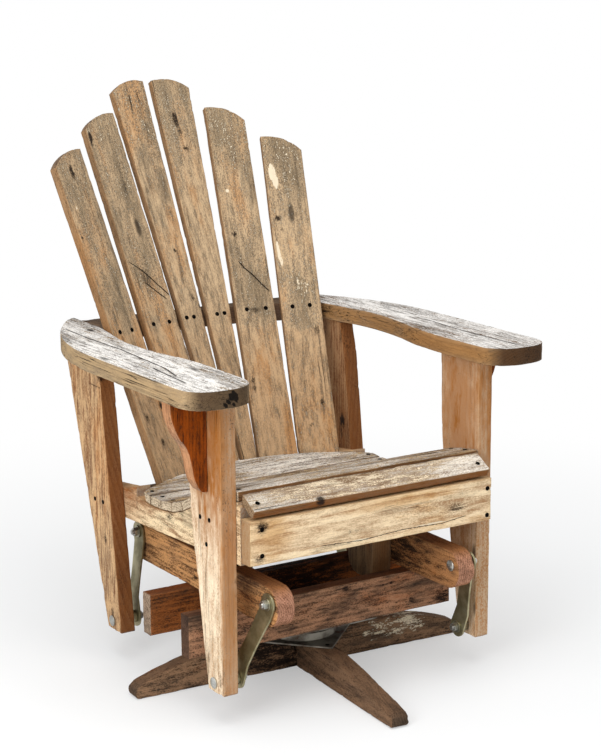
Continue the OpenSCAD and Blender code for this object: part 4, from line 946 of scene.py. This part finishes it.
FOOT_SCREWS_R = 105.04
arms = [math.radians(SIDE_TURN + a) for a in (0, 90, 180, 270)]
heads("foot_screws", "base", [
    ((FOOT_SCREWS_R * math.cos(a), FOOT_SCREWS_R * math.sin(a), FOOT_H + 3), (0, 0, 1)) for a in arms])
for node, x, z, out in (
        ("plate_screws", 90, CROSS_Z - 3, -1), ("frame_screws", RAIL_IN + RAIL_T / 2, RAIL_Z + RAIL_H, 1)):
    heads(node, "turntable", [((x * s, y + CROSS_T / 2, z), (0, 0, out)) for s in (-1, 1) for y in CROSS_Y])
leg_spots = [(74, 317), (42, 318), (53, 271), (REAR_FOOT + 63, 251), (REAR_FOOT + 97, 250)]
heads("leg_screws", "seat", mirrored([((LEG_OUT, y, z), (1, 0, 0)) for y, z in leg_spots]))
heads("apron_screws", "seat", [((x, APRON_Y, APRON_LOW + z), (0, -1, 0))
                               for x, z in ((-240, 17), (-240, 65), (255, 11), (255, 63))])
seat_spots = [((241, *([FRONT_Y, FRONT_Z] - 29 * front_way)), (0, *front_up))]
for start, slope in zip(deck, slopes):
    e, up = slope_axes(slope)
    seat_spots.append(((249, *(start + PITCH / 2 * e + SLAT_T * up)), (0, *up)))
heads("seat_screws", "seat", mirrored(seat_spots))
heads("back_screws", "seat", back_spots)

# Studio: a plain pale floor in even light, with a soft lamp above and one at the left, white
# beyond it, and a camera that looks from the front left, a little from above. Lengths are in
# metres here.
FLOOR_HALF = 30
CAMERA, AZIMUTH, ELEVATION, ROLL, LENS = (-1.9700, -3.0901, 1.3926), -32.57, 12.68, -0.2, 94.70


def blended(tree, factor, a, b, output):
    """Mixes two shaders by a factor and gives the result to the tree's output node."""
    blend = tree.nodes.new("ShaderNodeMixShader")
    for slot, socket in enumerate((factor, a, b)):
        tree.links.new(socket, blend.inputs[slot])
    tree.links.new(blend.outputs[0], output.inputs[0])


def even_light(tree, kind, strength):
    """A shader node that gives plain white light."""
    node = tree.nodes.new(kind)
    node.inputs[0].default_value = (1, 1, 1, 1)
    node.inputs[1].default_value = strength
    return node.outputs[0]


def added(item):
    """Links an object to the scene and returns it."""
    bpy.context.scene.collection.objects.link(item)
    return item


floor = Finish("studio floor")
floor.done(paint("f4f6f7"), 0.9, specular=0.2)
shades = {n.bl_idname: n for n in floor.tree.nodes}
where = floor.node("ShaderNodeTexCoord", {}, {}, OBJECT_OUTPUT)
away = floor.node("ShaderNodeVectorMath", {"operation": "LENGTH"}, {0: where}, 1).rise(0.4, 2.0)
seen = floor.node("ShaderNodeLightPath", {}, {}) * (away * 0.6 + 0.4)
blended(floor.tree, seen.socket, shades["ShaderNodeBsdfPrincipled"].outputs[0],
        even_light(floor.tree, "ShaderNodeEmission", 1.0), shades["ShaderNodeOutputMaterial"])
mesh = bpy.data.meshes.new("floor")
corners = [(-1, -1), (1, -1), (1, 1), (-1, 1)]
mesh.from_pydata([(x * FLOOR_HALF, y * FLOOR_HALF, 0) for x, y in corners], [], [(0, 1, 2, 3)])
mesh.materials.append(floor.material)
added(bpy.data.objects.new("floor", mesh))

world = bpy.data.worlds.new("studio")
bpy.context.scene.world = world
world.use_nodes = True
sky = world.node_tree
sky.nodes.clear()
path = sky.nodes.new("ShaderNodeLightPath")
seen = sky.nodes.new("ShaderNodeMath")
seen.operation = "MAXIMUM"
sky.links.new(path.outputs["Is Camera Ray"], seen.inputs[0])
sky.links.new(path.outputs["Is Glossy Ray"], seen.inputs[1])
blended(sky, seen.outputs[0], even_light(sky, "ShaderNodeBackground", 0.52),
        even_light(sky, "ShaderNodeBackground", 1.0), sky.nodes.new("ShaderNodeOutputWorld"))


def lamp(name, place, target, size, power):
    """A square lamp that faces its target."""
    light = bpy.data.lights.new(name, "AREA")
    light.size = size
    light.energy = power
    holder = added(bpy.data.objects.new(name, light))
    holder.location = place
    aim = np.asarray(target, float) - np.asarray(place, float)
    tilt = math.atan2(math.hypot(aim[0], aim[1]), -aim[2])
    holder.rotation_euler = (tilt, 0, math.atan2(aim[0], -aim[1]) + math.pi)


lamp("overhead", (-0.6, -0.8, 3.2), (0, 0, 0.4), 2.4, 62)
lamp("left", (-3.0, -1.6, 1.8), (0, 0, 0.5), 1.8, 56)

az, el, roll = np.radians([AZIMUTH, ELEVATION, ROLL])
back = np.array([math.sin(az) * math.cos(el), -math.cos(az) * math.cos(el), math.sin(el)])
right = np.cross(-back, [0, 0, 1])
right /= np.linalg.norm(right)
up = np.cross(back, right)
right, up = right * math.cos(roll) + up * math.sin(roll), -right * math.sin(roll) + up * math.cos(roll)
lens = bpy.data.cameras.new("view")
lens.sensor_width = 36.0
lens.lens = LENS
lens.clip_end = 100
camera = added(bpy.data.objects.new("view", lens))
matrix = np.eye(4)
matrix[:3] = np.stack([right, up, back, CAMERA], 1)
camera.matrix_world = Matrix(matrix.tolist())
bpy.context.scene.camera = camera
bpy.context.scene.view_settings.view_transform = "Standard"
